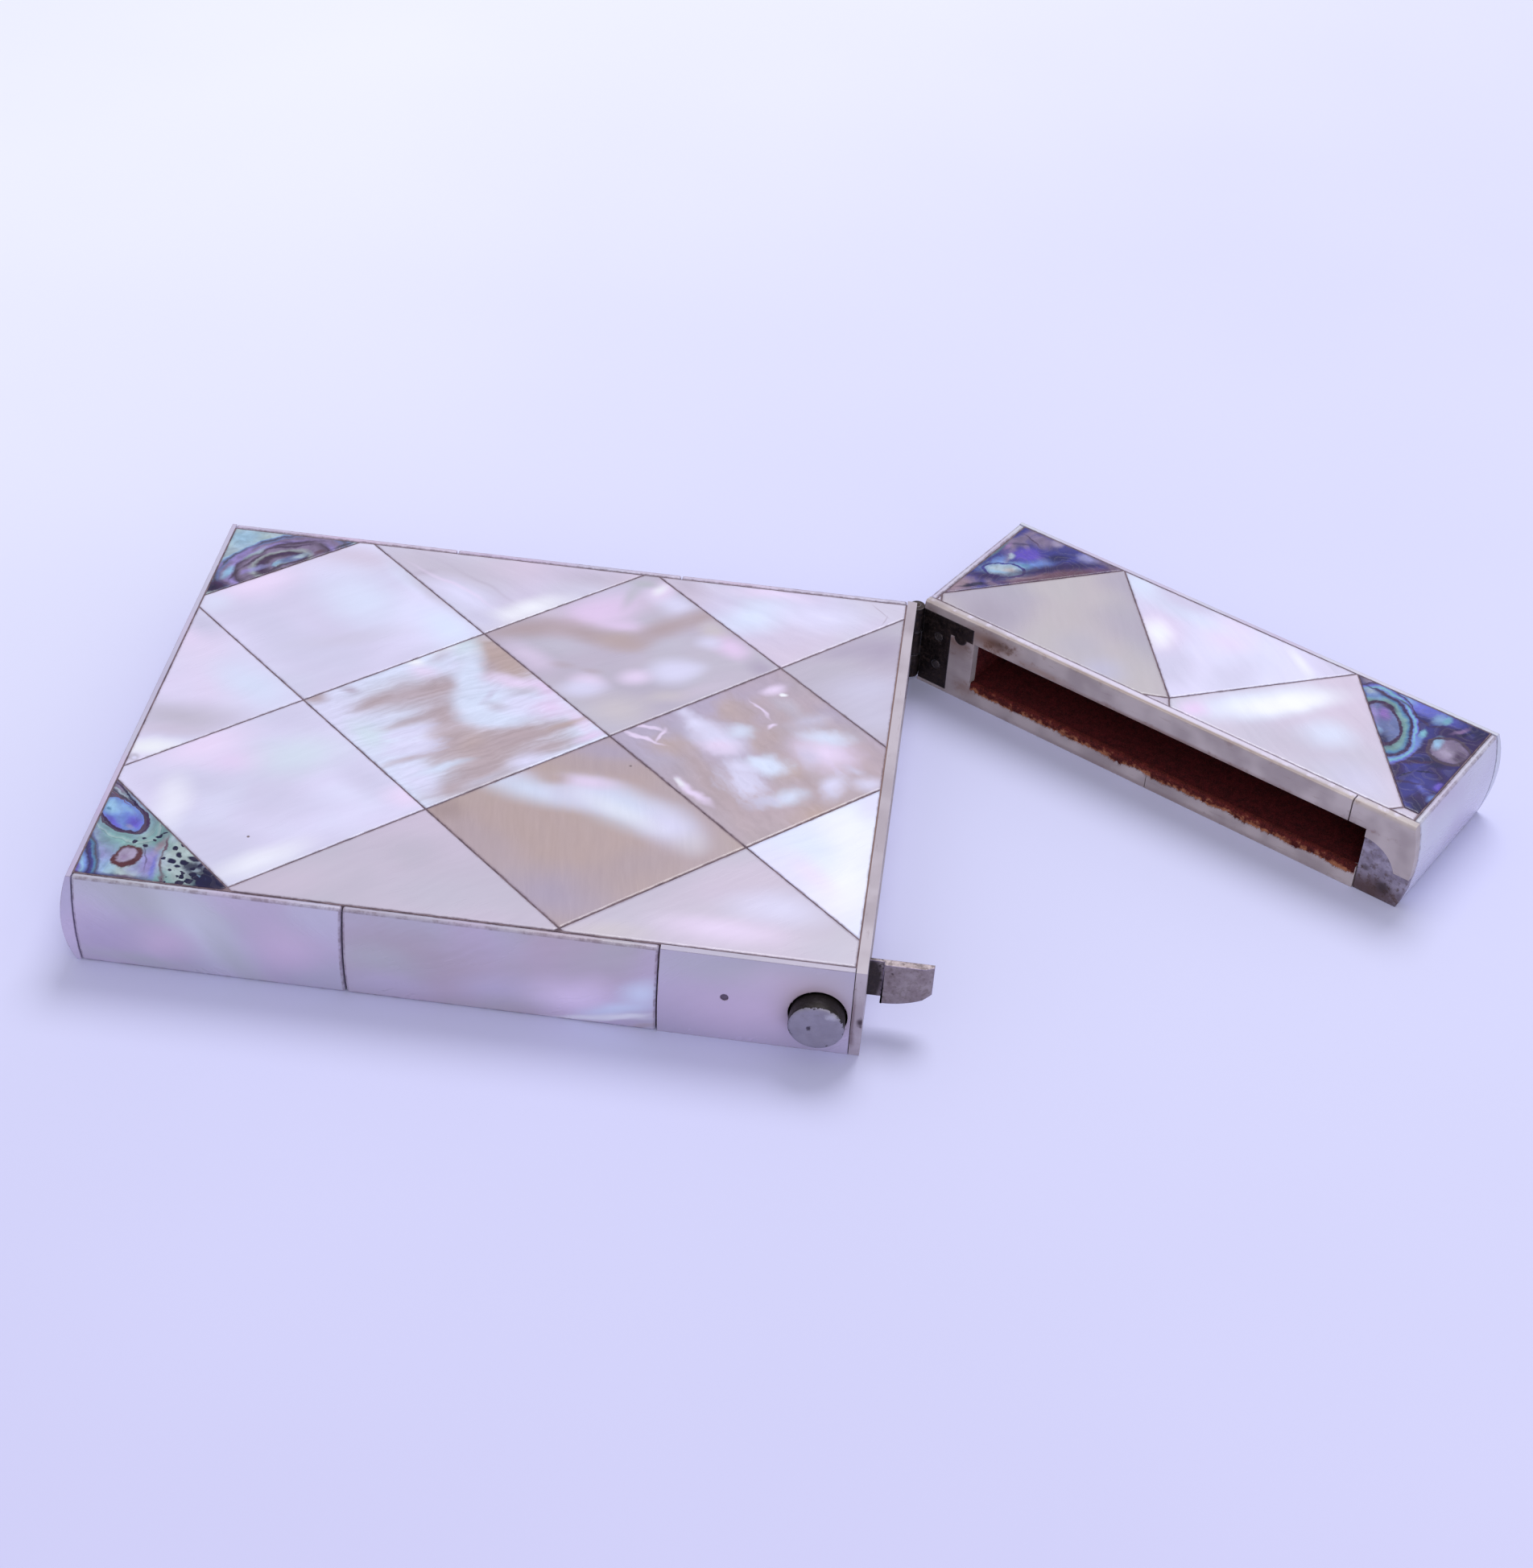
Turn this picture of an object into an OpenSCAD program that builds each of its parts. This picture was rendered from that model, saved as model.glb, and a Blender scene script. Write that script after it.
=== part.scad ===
// Flat visiting-card case covered with mother-of-pearl and abalone plates.
// The mouth end carries a sideways-swinging lid on an upright pin hinge,
// held shut by a spring hook that a push button on the narrow side releases.
// Millimetres. The origin is the centre of the body's underside, +X points out
// of the mouth, +Y towards the hinge side and +Z up through the thickness.

/* [Case] */
// Length of the body, closed end to mouth
body_len = 81; // [70:0.5:96]
// Length of the lid, mouth to outer end
lid_len = 21.1; // [17:0.1:28]
// Width between the two long edges
case_w = 63; // [54:0.5:76]
// Thickness over the two big faces
case_t = 11.4; // [10.6:0.1:14]
// How far the lid stands open at rest, in degrees
lid_open = 60.5; // [0:0.5:90]
// Gap between the two mouths when the case is shut
mouth_gap = 0.1; // [0.05:0.05:0.4]
// How far the narrow sides swell at mid thickness
side_bulge = 0.8; // [0.3:0.05:1]

/* [Walls] */
// Thickness of the shell plates on the big faces
shell_t = 1; // [0.6:0.05:1.3]
// Thickness of the cement under the plates
cement_t = 0.1; // [0.05:0.05:0.3]
// Thickness of the wooden boards
board_t = 1.6; // [1:0.1:1.9]
// Thickness of the velvet lining
lining_t = 0.2; // [0.1:0.05:0.4]
// Thickness of the side plates at their edges
side_t = 0.7; // [0.5:0.05:1.2]
// Thickness of the end plates at their edges
end_t = 0.5; // [0.4:0.05:1]
// Thickness of the wooden rail behind each end plate
end_rail_w = 2; // [1.2:0.1:3]
// Depth of the bone rim round each mouth
rim_t = 1.1; // [0.9:0.05:1.6]

/* [Mouth] */
// Solid width of the body mouth on the catch side
body_catch_w = 7.9; // [7.6:0.1:10]
// Solid width of the lid mouth on the catch side
lid_catch_w = 5.2; // [5.1:0.05:5.3]
// Solid width of both mouths on the hinge side
hinge_w = 7.2; // [6.4:0.1:10]
// Where the lid's lower rim strip is jointed, from the catch edge
rim_joint_y = 31.7; // [20:0.5:42]
// Width of the lid's upper catch-side rim block
rim_block_w = 7.4; // [6.4:0.1:10]

/* [Pattern] */
// Width of the dark joints between plates
joint_gap = 0.16; // [0.06:0.02:0.4]
// How far the joint cement lies below the face
joint_sink = 0.06; // [0.02:0.02:0.2]
// How far the first row of points lies outside the closed end
pattern_lead = 0.6; // [0:0.1:2]
// How far the last points of the body pattern reach past the mouth
tip_reach = 2.7; // [2:0.1:4]
// Distance of the lowest points from the catch edge
pattern_shift = 1.2; // [0:0.1:2]
// How far the lid's outer points sit off the body's rows
lid_drift = 0.7; // [0:0.1:2]
// Half the width of the cut-off lozenge tip on the lid
lid_tip_w = 3.7; // [2:0.1:5]
// First joint of the catch-side plates, from the closed end
side_joint = 28.2; // [20:0.1:36]
// Joint beside the button's plate, from the mouth
button_joint = 20.75; // [19:0.05:26]

/* [Hinge] */
// Radius of the hinge knuckles
knuckle_r = 0.9; // [0.8:0.05:1.2]
// Radius of the hinge pin
pin_r = 0.45; // [0.3:0.05:0.55]
// Running clearance in the hinge
hinge_play = 0.05; // [0.02:0.01:0.1]
// Thickness of the hinge leaves
leaf_t = 0.5; // [0.3:0.05:0.8]
// Width of the hinge leaves across the mouth
leaf_w = 4; // [3:0.1:5.5]
// Reach of the leaves' upper arm from the hinge edge
leaf_arm = 7; // [6:0.1:9]
// Height of the leaves' upper arm
leaf_arm_h = 2; // [1.2:0.1:2.4]
// Radius of the round lobe at the end of the arm
leaf_lobe_r = 0.85; // [0.5:0.05:1.2]
// Radius of the hinge rivets
rivet_r = 0.5; // [0.3:0.05:0.7]
// Length of the hinge rivets
rivet_len = 4; // [2:0.1:6]

/* [Catch] */
// Distance of the push button from the mouth
button_back = 4.5; // [4.4:0.1:6]
// Radius of the push button
button_r = 2.85; // [2.4:0.05:2.9]
// How far the button stands out of the side
button_proud = 2; // [1.2:0.1:3]
// Travel of the button
button_travel = 0.6; // [0.3:0.05:0.6]
// Wall of the bush round the button
bush_wall = 0.12; // [0.08:0.02:0.2]
// Sliding clearance of the button
button_play = 0.05; // [0.03:0.01:0.1]
// Radius of the button's stem
stem_r = 1.6; // [1:0.1:1.8]
// Radius of the collar that keeps the button in
collar_r = 2.2; // [2:0.05:2.4]
// Distance of the spring rivet from the mouth
anchor_back = 13.95; // [11:0.05:18]
// Height of the spring rivet above mid thickness
anchor_up = 0.9; // [0:0.1:1.1]
// Radius of the spring rivet
anchor_r = 0.42; // [0.3:0.02:0.5]
// Thickness of the catch spring
spring_t = 0.4; // [0.3:0.05:0.5]
// Length of the neck outside the mouth
neck_len = 1.5; // [1.4:0.05:2]
// Length of the hook past its neck
hook_len = 5.1; // [3:0.1:6]
// Thickness of the hook
hook_t = 0.9; // [0.7:0.05:1]
// Height of the hook at its tip
hook_tip_h = 3.7; // [2.5:0.1:4]

/* [Hidden] */
$fn = 96;

// Shell, bone, wood and metal as they look
pearl = [0.88, 0.85, 0.9];
warm_pearl = [0.83, 0.77, 0.78];
lilac_pearl = [0.78, 0.73, 0.84];
abalone = [0.3, 0.42, 0.6];
bone = [0.86, 0.82, 0.74];
board_wood = [0.5, 0.36, 0.22];
dark_cement = [0.22, 0.14, 0.12];
velvet = [0.3, 0.05, 0.04];
dark_metal = [0.13, 0.13, 0.14];
grey_metal = [0.52, 0.5, 0.5];

// Faces and edges of the closed case
closed_x = -body_len / 2;
mouth_x = body_len / 2;
lid_x0 = mouth_x + mouth_gap;
lid_x1 = lid_x0 + lid_len;
catch_y = -case_w / 2;
hinge_y = case_w / 2;
mid_z = case_t / 2;
far_out = case_w + body_len;
over = 1;

// Layers from the face inwards
face_z = case_t - shell_t;
board_z = face_z - cement_t;
wall_t = shell_t + cement_t + board_t + lining_t;
slot_h = case_t - 2 * wall_t;
slot_z1 = wall_t + slot_h;
rail_z0 = wall_t - lining_t;
rail_z1 = slot_z1 + lining_t;
bulge_r = (mid_z * mid_z + side_bulge * side_bulge) / (2 * side_bulge);

// Shell field of the body and of the lid, inside the side plates
case_x0 = closed_x + end_t;
case_x1 = mouth_x - rim_t;
case_rail_x = case_x0 + end_rail_w;
lid_field_x0 = lid_x0 + rim_t;
lid_field_x1 = lid_x1 - end_t;
lid_rail_x = lid_field_x1 - end_rail_w;
field_y0 = catch_y + side_t;
field_y1 = hinge_y - side_t;

// Card slots of the two mouths
body_slot_y0 = catch_y + body_catch_w;
lid_slot_y0 = catch_y + lid_catch_w;
slot_y1 = hinge_y - hinge_w;

// Lozenge pattern: columns of points along X and rows along Y
pitch_x = (body_len + pattern_lead + tip_reach) / 5;
pitch_y = (case_w - pattern_shift) / 4;
function column(i) = closed_x - pattern_lead + i * pitch_x;
function row(j) = catch_y + pattern_shift + j * pitch_y;
function lozenge(i, j) = [
    [column(i - 1), row(j)], [column(i), row(j - 1)], [column(i + 1), row(j)], [column(i), row(j + 1)]
];

// Hand-cut points of the lid's pattern
tip_lean = 0.4;
low_point_back = 0.1;
apex = [mouth_x + tip_reach, row(2) - lid_drift / 2];
low_point = [mouth_x + tip_reach - low_point_back, row(0) + 2 * lid_drift];
high_point = [mouth_x + tip_reach, row(4) - lid_drift];
outer_catch = [lid_field_x1, row(1) + lid_drift];
outer_hinge = [lid_field_x1, row(3) + lid_drift];
tip_low = apex[1] - lid_tip_w * tip_lean;
tip_high = apex[1] + lid_tip_w * (1 + tip_lean);
corner_low = low_point[1] + lid_tip_w * (1 - tip_lean);
corner_high = high_point[1] - lid_tip_w * tip_lean;

// Moves every side of a counterclockwise outline inwards by d
function corner_in(a, b, c, d) =
    let (u = (b - a) / norm(b - a), v = (c - b) / norm(c - b), m = [-u[1], u[0]], n = [-v[1], v[0]])
    b + (m + n) * d / (1 + m * n);
function inset(p, d) =
    [for (i = [0:len(p) - 1]) corner_in(p[(i + len(p) - 1) % len(p)], p[i], p[(i + 1) % len(p)], d)];

// Hinge pin, and the knuckles stacked on it
pivot_x = mouth_x + mouth_gap / 2;
pivot_y = hinge_y + knuckle_r;
leaf_foot = 0.4;
leaf_head = 1;
knuckle_h = (case_t - leaf_foot - leaf_head) / 3;
web_w = 1.2;
rivet_in = 1.6;
rivet_low = 2.4;
rivet_high = 1.6;

// Spring, hook and the slit they work in
anchor_x = mouth_x - anchor_back;
anchor_z = mid_z + anchor_up;
button_x = mouth_x - button_back;
hook_clear = 0.15;
hook_h = slot_h - 2 * hook_clear;
hook_z0 = mid_z - hook_h / 2;
hook_z1 = hook_z0 + hook_h;
spring_step = 0.5;
spring_z0 = hook_z0 + spring_step;
spring_tail = 2;
anchor_play = 0.1;
neck_clear = 0.1;
spring_y0 = lid_slot_y0 + neck_clear;
spring_y1 = spring_y0 + spring_t;
hook_y0 = spring_y1 - hook_t;
hook_x0 = mouth_x + neck_len;
hook_drop = hook_h - hook_tip_h;
hook_curve_r = (hook_len * hook_len + hook_drop * hook_drop) / (2 * hook_drop);
lever = anchor_back - button_back;
slit_play = 0.2;
slit_end = 1;
slit_y0 = spring_y0 - slit_play;
slit_y1 = spring_y1 + button_travel * anchor_back / lever + slit_play;
slit_x0 = anchor_x - spring_tail - slit_end;
pocket_side = 0.4;
pocket_end = 1;
pocket_y0 = hook_y0 - pocket_side;
pocket_x1 = hook_x0 + hook_len + pocket_end;

// Button, stem and bush along their common axis
skin_y = catch_y - side_bulge;
bush_r = button_r + button_play + bush_wall;
bush_recess = 0.25;
bush_floor = 0.5;
head_gap = 0.1;
bush_y0 = skin_y + bush_recess;
bush_seat = catch_y + side_t - bush_floor;
head_back = bush_seat - button_travel - head_gap;
collar_t = 0.6;
collar_gap = 0.8;
collar_y0 = spring_y0 - button_travel - collar_t - collar_gap;

// Small helpers
module block(x0, x1, y0, y1, z0, z1) {
    translate([x0, y0, z0]) cube([x1 - x0, y1 - y0, z1 - z0]);
}

// Rod along Y between two heights y0 and y1
module rod_y(x, z, r, y0, y1) {
    translate([x, y1, z]) rotate([90, 0, 0]) cylinder(r = r, h = y1 - y0);
}

// Rod along X between x0 and x1
module rod_x(y, z, r, x0, x1) {
    translate([x0, y, z]) rotate([0, 90, 0]) cylinder(r = r, h = x1 - x0);
}

// Stands an outline in Y and Z upright and runs it along X from x0 to x1
module along_x(x0, x1) {
    translate([x0, 0, 0]) rotate([90, 0, 90]) linear_extrude(x1 - x0) children();
}

// Turns what is drawn shut to the lid's place at rest
module swung() {
    translate([pivot_x, pivot_y, 0]) rotate([0, 0, lid_open]) translate([-pivot_x, -pivot_y, 0]) children();
}

// Same thing on the underside
module flipped() {
    translate([0, 0, case_t]) mirror([0, 0, 1]) children();
}

// Half a narrow side in section: flat inside, swelling outside, measured from the edge line
module bulge_section(inner_t) {
    intersection() {
        translate([side_bulge - bulge_r, mid_z]) circle(r = bulge_r, $fn = 180);
        translate([-inner_t, 0]) square([inner_t + side_bulge, case_t]);
    }
}

// Full section of the case across its width
module width_section() {
    translate([catch_y, 0]) square([case_w, case_t]);
    translate([hinge_y, 0]) bulge_section(0);
    mirror([1, 0]) translate([hinge_y, 0]) bulge_section(0);
}

// Side plate on the hinge side between x0 and x1
module side_strip(x0, x1) {
    along_x(x0, x1) translate([hinge_y, 0]) bulge_section(side_t);
}

// End plate, drawn for an end face at x = 0 that looks along +X
module end_strip() {
    intersection() {
        translate([0, far_out / 2, 0]) rotate([90, 0, 0]) linear_extrude(far_out) bulge_section(end_t);
        along_x(-end_t, side_bulge) width_section();
    }
}

module case_field(gap) {
    translate([case_x0 + gap, field_y0 + gap])
        square([case_x1 - case_x0 - 2 * gap, field_y1 - field_y0 - 2 * gap]);
}

module lid_field(gap) {
    translate([lid_field_x0 + gap, field_y0 + gap])
        square([lid_field_x1 - lid_field_x0 - 2 * gap, field_y1 - field_y0 - 2 * gap]);
}

module case_outline(i, j) {
    intersection() {
        polygon(inset(lozenge(i, j), joint_gap / 2));
        case_field(joint_gap);
    }
}

module lid_outline(points) {
    intersection() {
        polygon(inset(points, joint_gap / 2));
        lid_field(joint_gap);
    }
}

module case_plate(i, j) {
    translate([0, 0, face_z]) linear_extrude(shell_t) case_outline(i, j);
}

module lid_plate(points) {
    translate([0, 0, face_z]) linear_extrude(shell_t) lid_outline(points);
}

// Outlines of the lid's plates, counterclockwise
lid_middle_points = [apex, outer_catch, [far_out, outer_catch[1]], [far_out, outer_hinge[1]], outer_hinge];
lid_catch_points = [apex, [lid_x0, tip_low], [lid_x0, corner_low], low_point, outer_catch];
lid_hinge_points = [apex, outer_hinge, high_point, [lid_x0, corner_high], [lid_x0, tip_high]];
lid_abalone_catch_points = [
    low_point, [low_point[0], -far_out], [far_out, -far_out], [far_out, outer_catch[1]], outer_catch
];
lid_abalone_hinge_points = [
    high_point, outer_hinge, [far_out, outer_hinge[1]], [far_out, far_out], [high_point[0], far_out]
];
centre_tip_points = [apex, [lid_x0, tip_high], [lid_x0, tip_low]];
low_tip_points = [low_point, [lid_x0, corner_low], [lid_x0, -far_out], [low_point[0], -far_out]];
high_tip_points = [high_point, [high_point[0], far_out], [lid_x0, far_out], [lid_x0, corner_high]];

pearl_cells = [
    [0, 2], [1, 1], [1, 3], [2, 0], [2, 2], [2, 4], [3, 1], [3, 3], [4, 0], [4, 2], [4, 4], [5, 1], [5, 3]
];
abalone_cells = [[0, 0], [0, 4]];

module lid_pearl_outlines() {
    lid_outline(lid_middle_points);
    lid_outline(lid_catch_points);
    lid_outline(lid_hinge_points);
    lid_outline(centre_tip_points);
    lid_outline(low_tip_points);
    lid_outline(high_tip_points);
}

module lid_abalone_outlines() {
    lid_outline(lid_abalone_catch_points);
    lid_outline(lid_abalone_hinge_points);
}

// Cement bed with the ridges that fill the joints
module case_cement_face() {
    translate([0, 0, board_z]) linear_extrude(cement_t) case_field(0);
    translate([0, 0, face_z]) linear_extrude(shell_t - joint_sink) difference() {
        case_field(0);
        for (c = concat(pearl_cells, abalone_cells)) case_outline(c[0], c[1]);
    }
}

module lid_cement_face() {
    translate([0, 0, board_z]) linear_extrude(cement_t) lid_field(0);
    translate([0, 0, face_z]) linear_extrude(shell_t - joint_sink) difference() {
        lid_field(0);
        lid_pearl_outlines();
        lid_abalone_outlines();
    }
}

module case_cement() {
    color(dark_cement) {
        case_cement_face();
        flipped() case_cement_face();
    }
}

module lid_cement() {
    color(dark_cement) swung() {
        lid_cement_face();
        flipped() lid_cement_face();
    }
}

// Wooden core of the body
module case_top_board() {
    color(board_wood) block(case_x0, case_x1, field_y0, field_y1, board_z - board_t, board_z);
}

module case_floor_board() {
    color(board_wood) flipped() block(case_x0, case_x1, field_y0, field_y1, board_z - board_t, board_z);
}

module case_end_rail() {
    color(board_wood)
        block(case_x0, case_rail_x, field_y0, field_y1, rail_z0, rail_z1);
}

module case_hinge_rail() {
    color(board_wood) difference() {
        block(case_rail_x, case_x1, slot_y1 + lining_t, field_y1, rail_z0, rail_z1);
        case_rivet_rods();
    }
}

// Catch-side rail with the slit for the spring and the bore for the button
module case_catch_rail() {
    color(board_wood) difference() {
        block(case_rail_x, case_x1, field_y0, body_slot_y0 - lining_t, rail_z0, rail_z1);
        block(slit_x0, case_x1 + over, slit_y0, slit_y1, rail_z0 - over, rail_z1 + over);
        rod_y(button_x, mid_z, stem_r + button_play, field_y0 - over, slit_y0 + slit_play);
        rod_y(button_x, mid_z, collar_r + 2 * button_play, collar_y0 - button_play, slit_y0 + slit_play);
        rod_y(anchor_x, anchor_z, anchor_r, field_y0 - over, slit_y0 + slit_play);
    }
}

// Bone rim of the body: top and floor strips, and blocks at the ends of the slot
module case_rim_part() {
    difference() {
        along_x(mouth_x - rim_t, mouth_x) intersection() {
            width_section();
            children();
        }
        knuckle_relief();
        case_leaf_plate();
        case_rivet_rods();
    }
}

module case_rim_strips() {
    color(bone) {
        case_rim_part() translate([-far_out, case_t - wall_t]) square([2 * far_out, wall_t]);
        case_rim_part() translate([-far_out, 0]) square([2 * far_out, wall_t]);
    }
}

module case_rim_blocks() {
    color(bone) {
        case_rim_part() translate([slot_y1, wall_t]) square([far_out, slot_h]);
        case_rim_part() translate([slit_y0 - far_out, wall_t]) square([far_out, slot_h]);
        case_rim_part() translate([slit_y1, wall_t]) square([body_slot_y0 - slit_y1, slot_h]);
    }
}

// Velvet sleeve glued into the body
module case_lining() {
    color(velvet) difference() {
        block(case_rail_x, case_x1, body_slot_y0 - lining_t, slot_y1 + lining_t, rail_z0, rail_z1);
        block(case_rail_x + lining_t, case_x1 + over, body_slot_y0, slot_y1, wall_t, slot_z1);
    }
}

// Shell plates of the body's upper face
module top_plate_centre() { color(warm_pearl) case_plate(2, 2); }
module top_plate_left_catch() { color(pearl) case_plate(1, 1); }
module top_plate_left_hinge() { color(lilac_pearl) case_plate(1, 3); }
module top_plate_mid_catch() { color(warm_pearl) case_plate(3, 1); }
module top_plate_mid_hinge() { color(lilac_pearl) case_plate(3, 3); }
module top_plate_right() { color(warm_pearl) case_plate(4, 2); }
module top_plate_mouth_catch() { color(pearl) case_plate(5, 1); }
module top_plate_mouth_hinge() { color(lilac_pearl) case_plate(5, 3); }
module top_half_end() { color(pearl) case_plate(0, 2); }
module top_halves_catch_edge() {
    color(warm_pearl) {
        case_plate(2, 0);
        case_plate(4, 0);
    }
}
module top_halves_hinge_edge() {
    color(pearl) {
        case_plate(2, 4);
        case_plate(4, 4);
    }
}
module top_abalone_catch() { color(abalone) case_plate(0, 0); }
module top_abalone_hinge() { color(abalone) case_plate(0, 4); }

// Shell plates of the underside, the same pattern seen from below
module under_pearl() {
    color(pearl) flipped() for (c = pearl_cells) case_plate(c[0], c[1]);
}
module under_abalone() {
    color(abalone) flipped() for (c = abalone_cells) case_plate(c[0], c[1]);
}

// Shell plates of the narrow sides
module catch_side_plate_end() {
    color(lilac_pearl) mirror([0, 1, 0])
        side_strip(case_x0 + joint_gap / 2, closed_x + side_joint - joint_gap / 2);
}
module catch_side_plate_middle() {
    color(pearl) mirror([0, 1, 0])
        side_strip(closed_x + side_joint + joint_gap / 2, mouth_x - button_joint - joint_gap / 2);
}
module button_plate() {
    color(lilac_pearl) difference() {
        mirror([0, 1, 0]) side_strip(mouth_x - button_joint + joint_gap / 2, case_x1 - joint_gap / 2);
        rod_y(button_x, mid_z, bush_r, skin_y - over, catch_y + side_t + over);
        rod_y(anchor_x, anchor_z, anchor_r, skin_y - over, catch_y + side_t + over);
    }
}
module hinge_side_plates() {
    third = (case_x1 - case_x0) / 3;
    color(pearl) for (k = [0:2])
        side_strip(case_x0 + k * third + joint_gap / 2, case_x0 + (k + 1) * third - joint_gap / 2);
}
module end_plate() {
    color(lilac_pearl) translate([closed_x, 0, 0]) mirror([1, 0, 0]) end_strip();
}

// Outline of a hinge leaf in Y and Z: a tall plate, an arm along the top and its round lobe
module leaf_outline() {
    intersection() {
        width_section();
        union() {
            translate([hinge_y - leaf_w, leaf_foot]) square([far_out, case_t - leaf_head - leaf_foot]);
            translate([hinge_y - leaf_arm, case_t - leaf_head - leaf_arm_h]) square([leaf_arm, leaf_arm_h]);
            translate([hinge_y - leaf_arm + 2 * leaf_lobe_r, case_t - leaf_head - leaf_arm_h])
                circle(r = leaf_lobe_r);
        }
    }
}

module case_leaf_plate() {
    along_x(mouth_x - leaf_t, mouth_x) leaf_outline();
}

module lid_leaf_plate() {
    along_x(lid_x0, lid_x0 + leaf_t) leaf_outline();
}

// Space that the knuckles turn in
module knuckle_relief() {
    translate([pivot_x, pivot_y, -over]) cylinder(r = knuckle_r + 2 * hinge_play, h = case_t + 2 * over);
}

// One knuckle, k-th from the bottom, with its running bore
module knuckle(k, bore) {
    translate([pivot_x, pivot_y, leaf_foot + k * knuckle_h + hinge_play]) difference() {
        cylinder(r = knuckle_r, h = knuckle_h - 2 * hinge_play);
        translate([0, 0, -over]) cylinder(r = bore, h = knuckle_h + 2 * over);
    }
}

// Web that joins a knuckle to its leaf between x0 and x1
module knuckle_web(k, x0, x1, bore) {
    difference() {
        block(x0, x1, hinge_y - web_w, pivot_y,
            leaf_foot + k * knuckle_h + hinge_play, leaf_foot + (k + 1) * knuckle_h - hinge_play);
        translate([pivot_x, pivot_y, -over]) cylinder(r = bore, h = case_t + 2 * over);
    }
}

module case_rivet_rods() {
    for (z = [mid_z - rivet_low, mid_z + rivet_high])
        rod_x(hinge_y - leaf_w + rivet_in, z, rivet_r, mouth_x - rivet_len, mouth_x);
}

module lid_rivet_rods() {
    for (z = [mid_z - rivet_low, mid_z + rivet_high])
        rod_x(hinge_y - leaf_w + rivet_in, z, rivet_r, lid_x0, lid_x0 + rivet_len);
}

module case_hinge_leaf() {
    color(dark_metal) {
        difference() {
            case_leaf_plate();
            knuckle_relief();
            case_rivet_rods();
        }
        for (k = [0, 2]) {
            knuckle(k, pin_r);
            knuckle_web(k, mouth_x - leaf_t, mouth_x, pin_r);
        }
    }
}

module lid_hinge_leaf() {
    color(dark_metal) swung() {
        difference() {
            lid_leaf_plate();
            knuckle_relief();
            lid_rivet_rods();
        }
        knuckle(1, pin_r + hinge_play);
        knuckle_web(1, lid_x0, lid_x0 + leaf_t, pin_r + hinge_play);
    }
}

module case_hinge_rivets() {
    color(grey_metal) case_rivet_rods();
}

module lid_hinge_rivets() {
    color(grey_metal) swung() lid_rivet_rods();
}

module hinge_pin() {
    color(dark_metal) translate([pivot_x, pivot_y, leaf_foot]) cylinder(r = pin_r, h = 3 * knuckle_h);
}

// Push button: round head, stem and the collar that keeps it in
module push_button() {
    head_round = 0.15;
    nib_r = 0.5;
    nib_len = 0.35;
    color(grey_metal) {
        rod_y(button_x, mid_z, button_r, skin_y - button_proud + head_round, head_back);
        rod_y(button_x, mid_z, button_r - head_round, skin_y - button_proud, head_back);
        rod_y(button_x, mid_z, stem_r, head_back, spring_y0 - nib_len);
        rod_y(button_x, mid_z, nib_r, head_back, spring_y0 - button_play);
        rod_y(button_x, mid_z, collar_r, collar_y0, collar_y0 + collar_t);
    }
}

module button_bush() {
    color(dark_metal) difference() {
        rod_y(button_x, mid_z, bush_r, bush_y0, field_y0);
        rod_y(button_x, mid_z, button_r + button_play, bush_y0 - over, bush_seat);
        rod_y(button_x, mid_z, stem_r + button_play, bush_y0 - over, field_y0 + over);
    }
}

// Rivet that holds the tail of the spring, with its shoulder and its clenched end
module spring_rivet() {
    shoulder_r = 2 * anchor_r;
    clench_t = 0.35;
    rivet_recess = 0.08;
    color(dark_metal) {
        rod_y(anchor_x, anchor_z, anchor_r, skin_y + rivet_recess, spring_y1 + anchor_play + clench_t);
        rod_y(anchor_x, anchor_z, shoulder_r, slit_y0, spring_y0 - anchor_play);
        rod_y(anchor_x, anchor_z, shoulder_r, spring_y1 + anchor_play, spring_y1 + anchor_play + clench_t);
    }
}

// Catch spring: a leaf in the rail's slit, a neck through the rim and a hook outside
module catch_spring() {
    lead_in = 0.45;
    neck_lap = 0.2;
    color(grey_metal) {
        difference() {
            block(anchor_x - spring_tail, hook_x0 + neck_lap, spring_y0, spring_y1, spring_z0, hook_z1);
            rod_y(anchor_x, anchor_z, anchor_r + anchor_play, spring_y0 - over, spring_y1 + over);
        }
        intersection() {
            translate([0, spring_y1, 0]) rotate([90, 0, 0]) linear_extrude(hook_t) intersection() {
                translate([hook_x0, hook_z0]) square([hook_len, hook_h]);
                translate([hook_x0, hook_z0 + hook_curve_r]) circle(r = hook_curve_r, $fn = 180);
            }
            linear_extrude(case_t) polygon([
                [hook_x0, hook_y0], [hook_x0 + hook_len - 2 * lead_in, hook_y0],
                [hook_x0 + hook_len, hook_y0 + lead_in],
                [hook_x0 + hook_len, spring_y1], [hook_x0, spring_y1]
            ]);
        }
    }
}

// Wooden core of the lid
module lid_top_board() {
    color(board_wood) swung()
        block(lid_field_x0, lid_field_x1, field_y0, field_y1, board_z - board_t, board_z);
}

module lid_floor_board() {
    color(board_wood) swung() flipped()
        block(lid_field_x0, lid_field_x1, field_y0, field_y1, board_z - board_t, board_z);
}

module lid_end_rail() {
    color(board_wood) swung()
        block(lid_rail_x, lid_field_x1, field_y0, field_y1, rail_z0, rail_z1);
}

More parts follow.
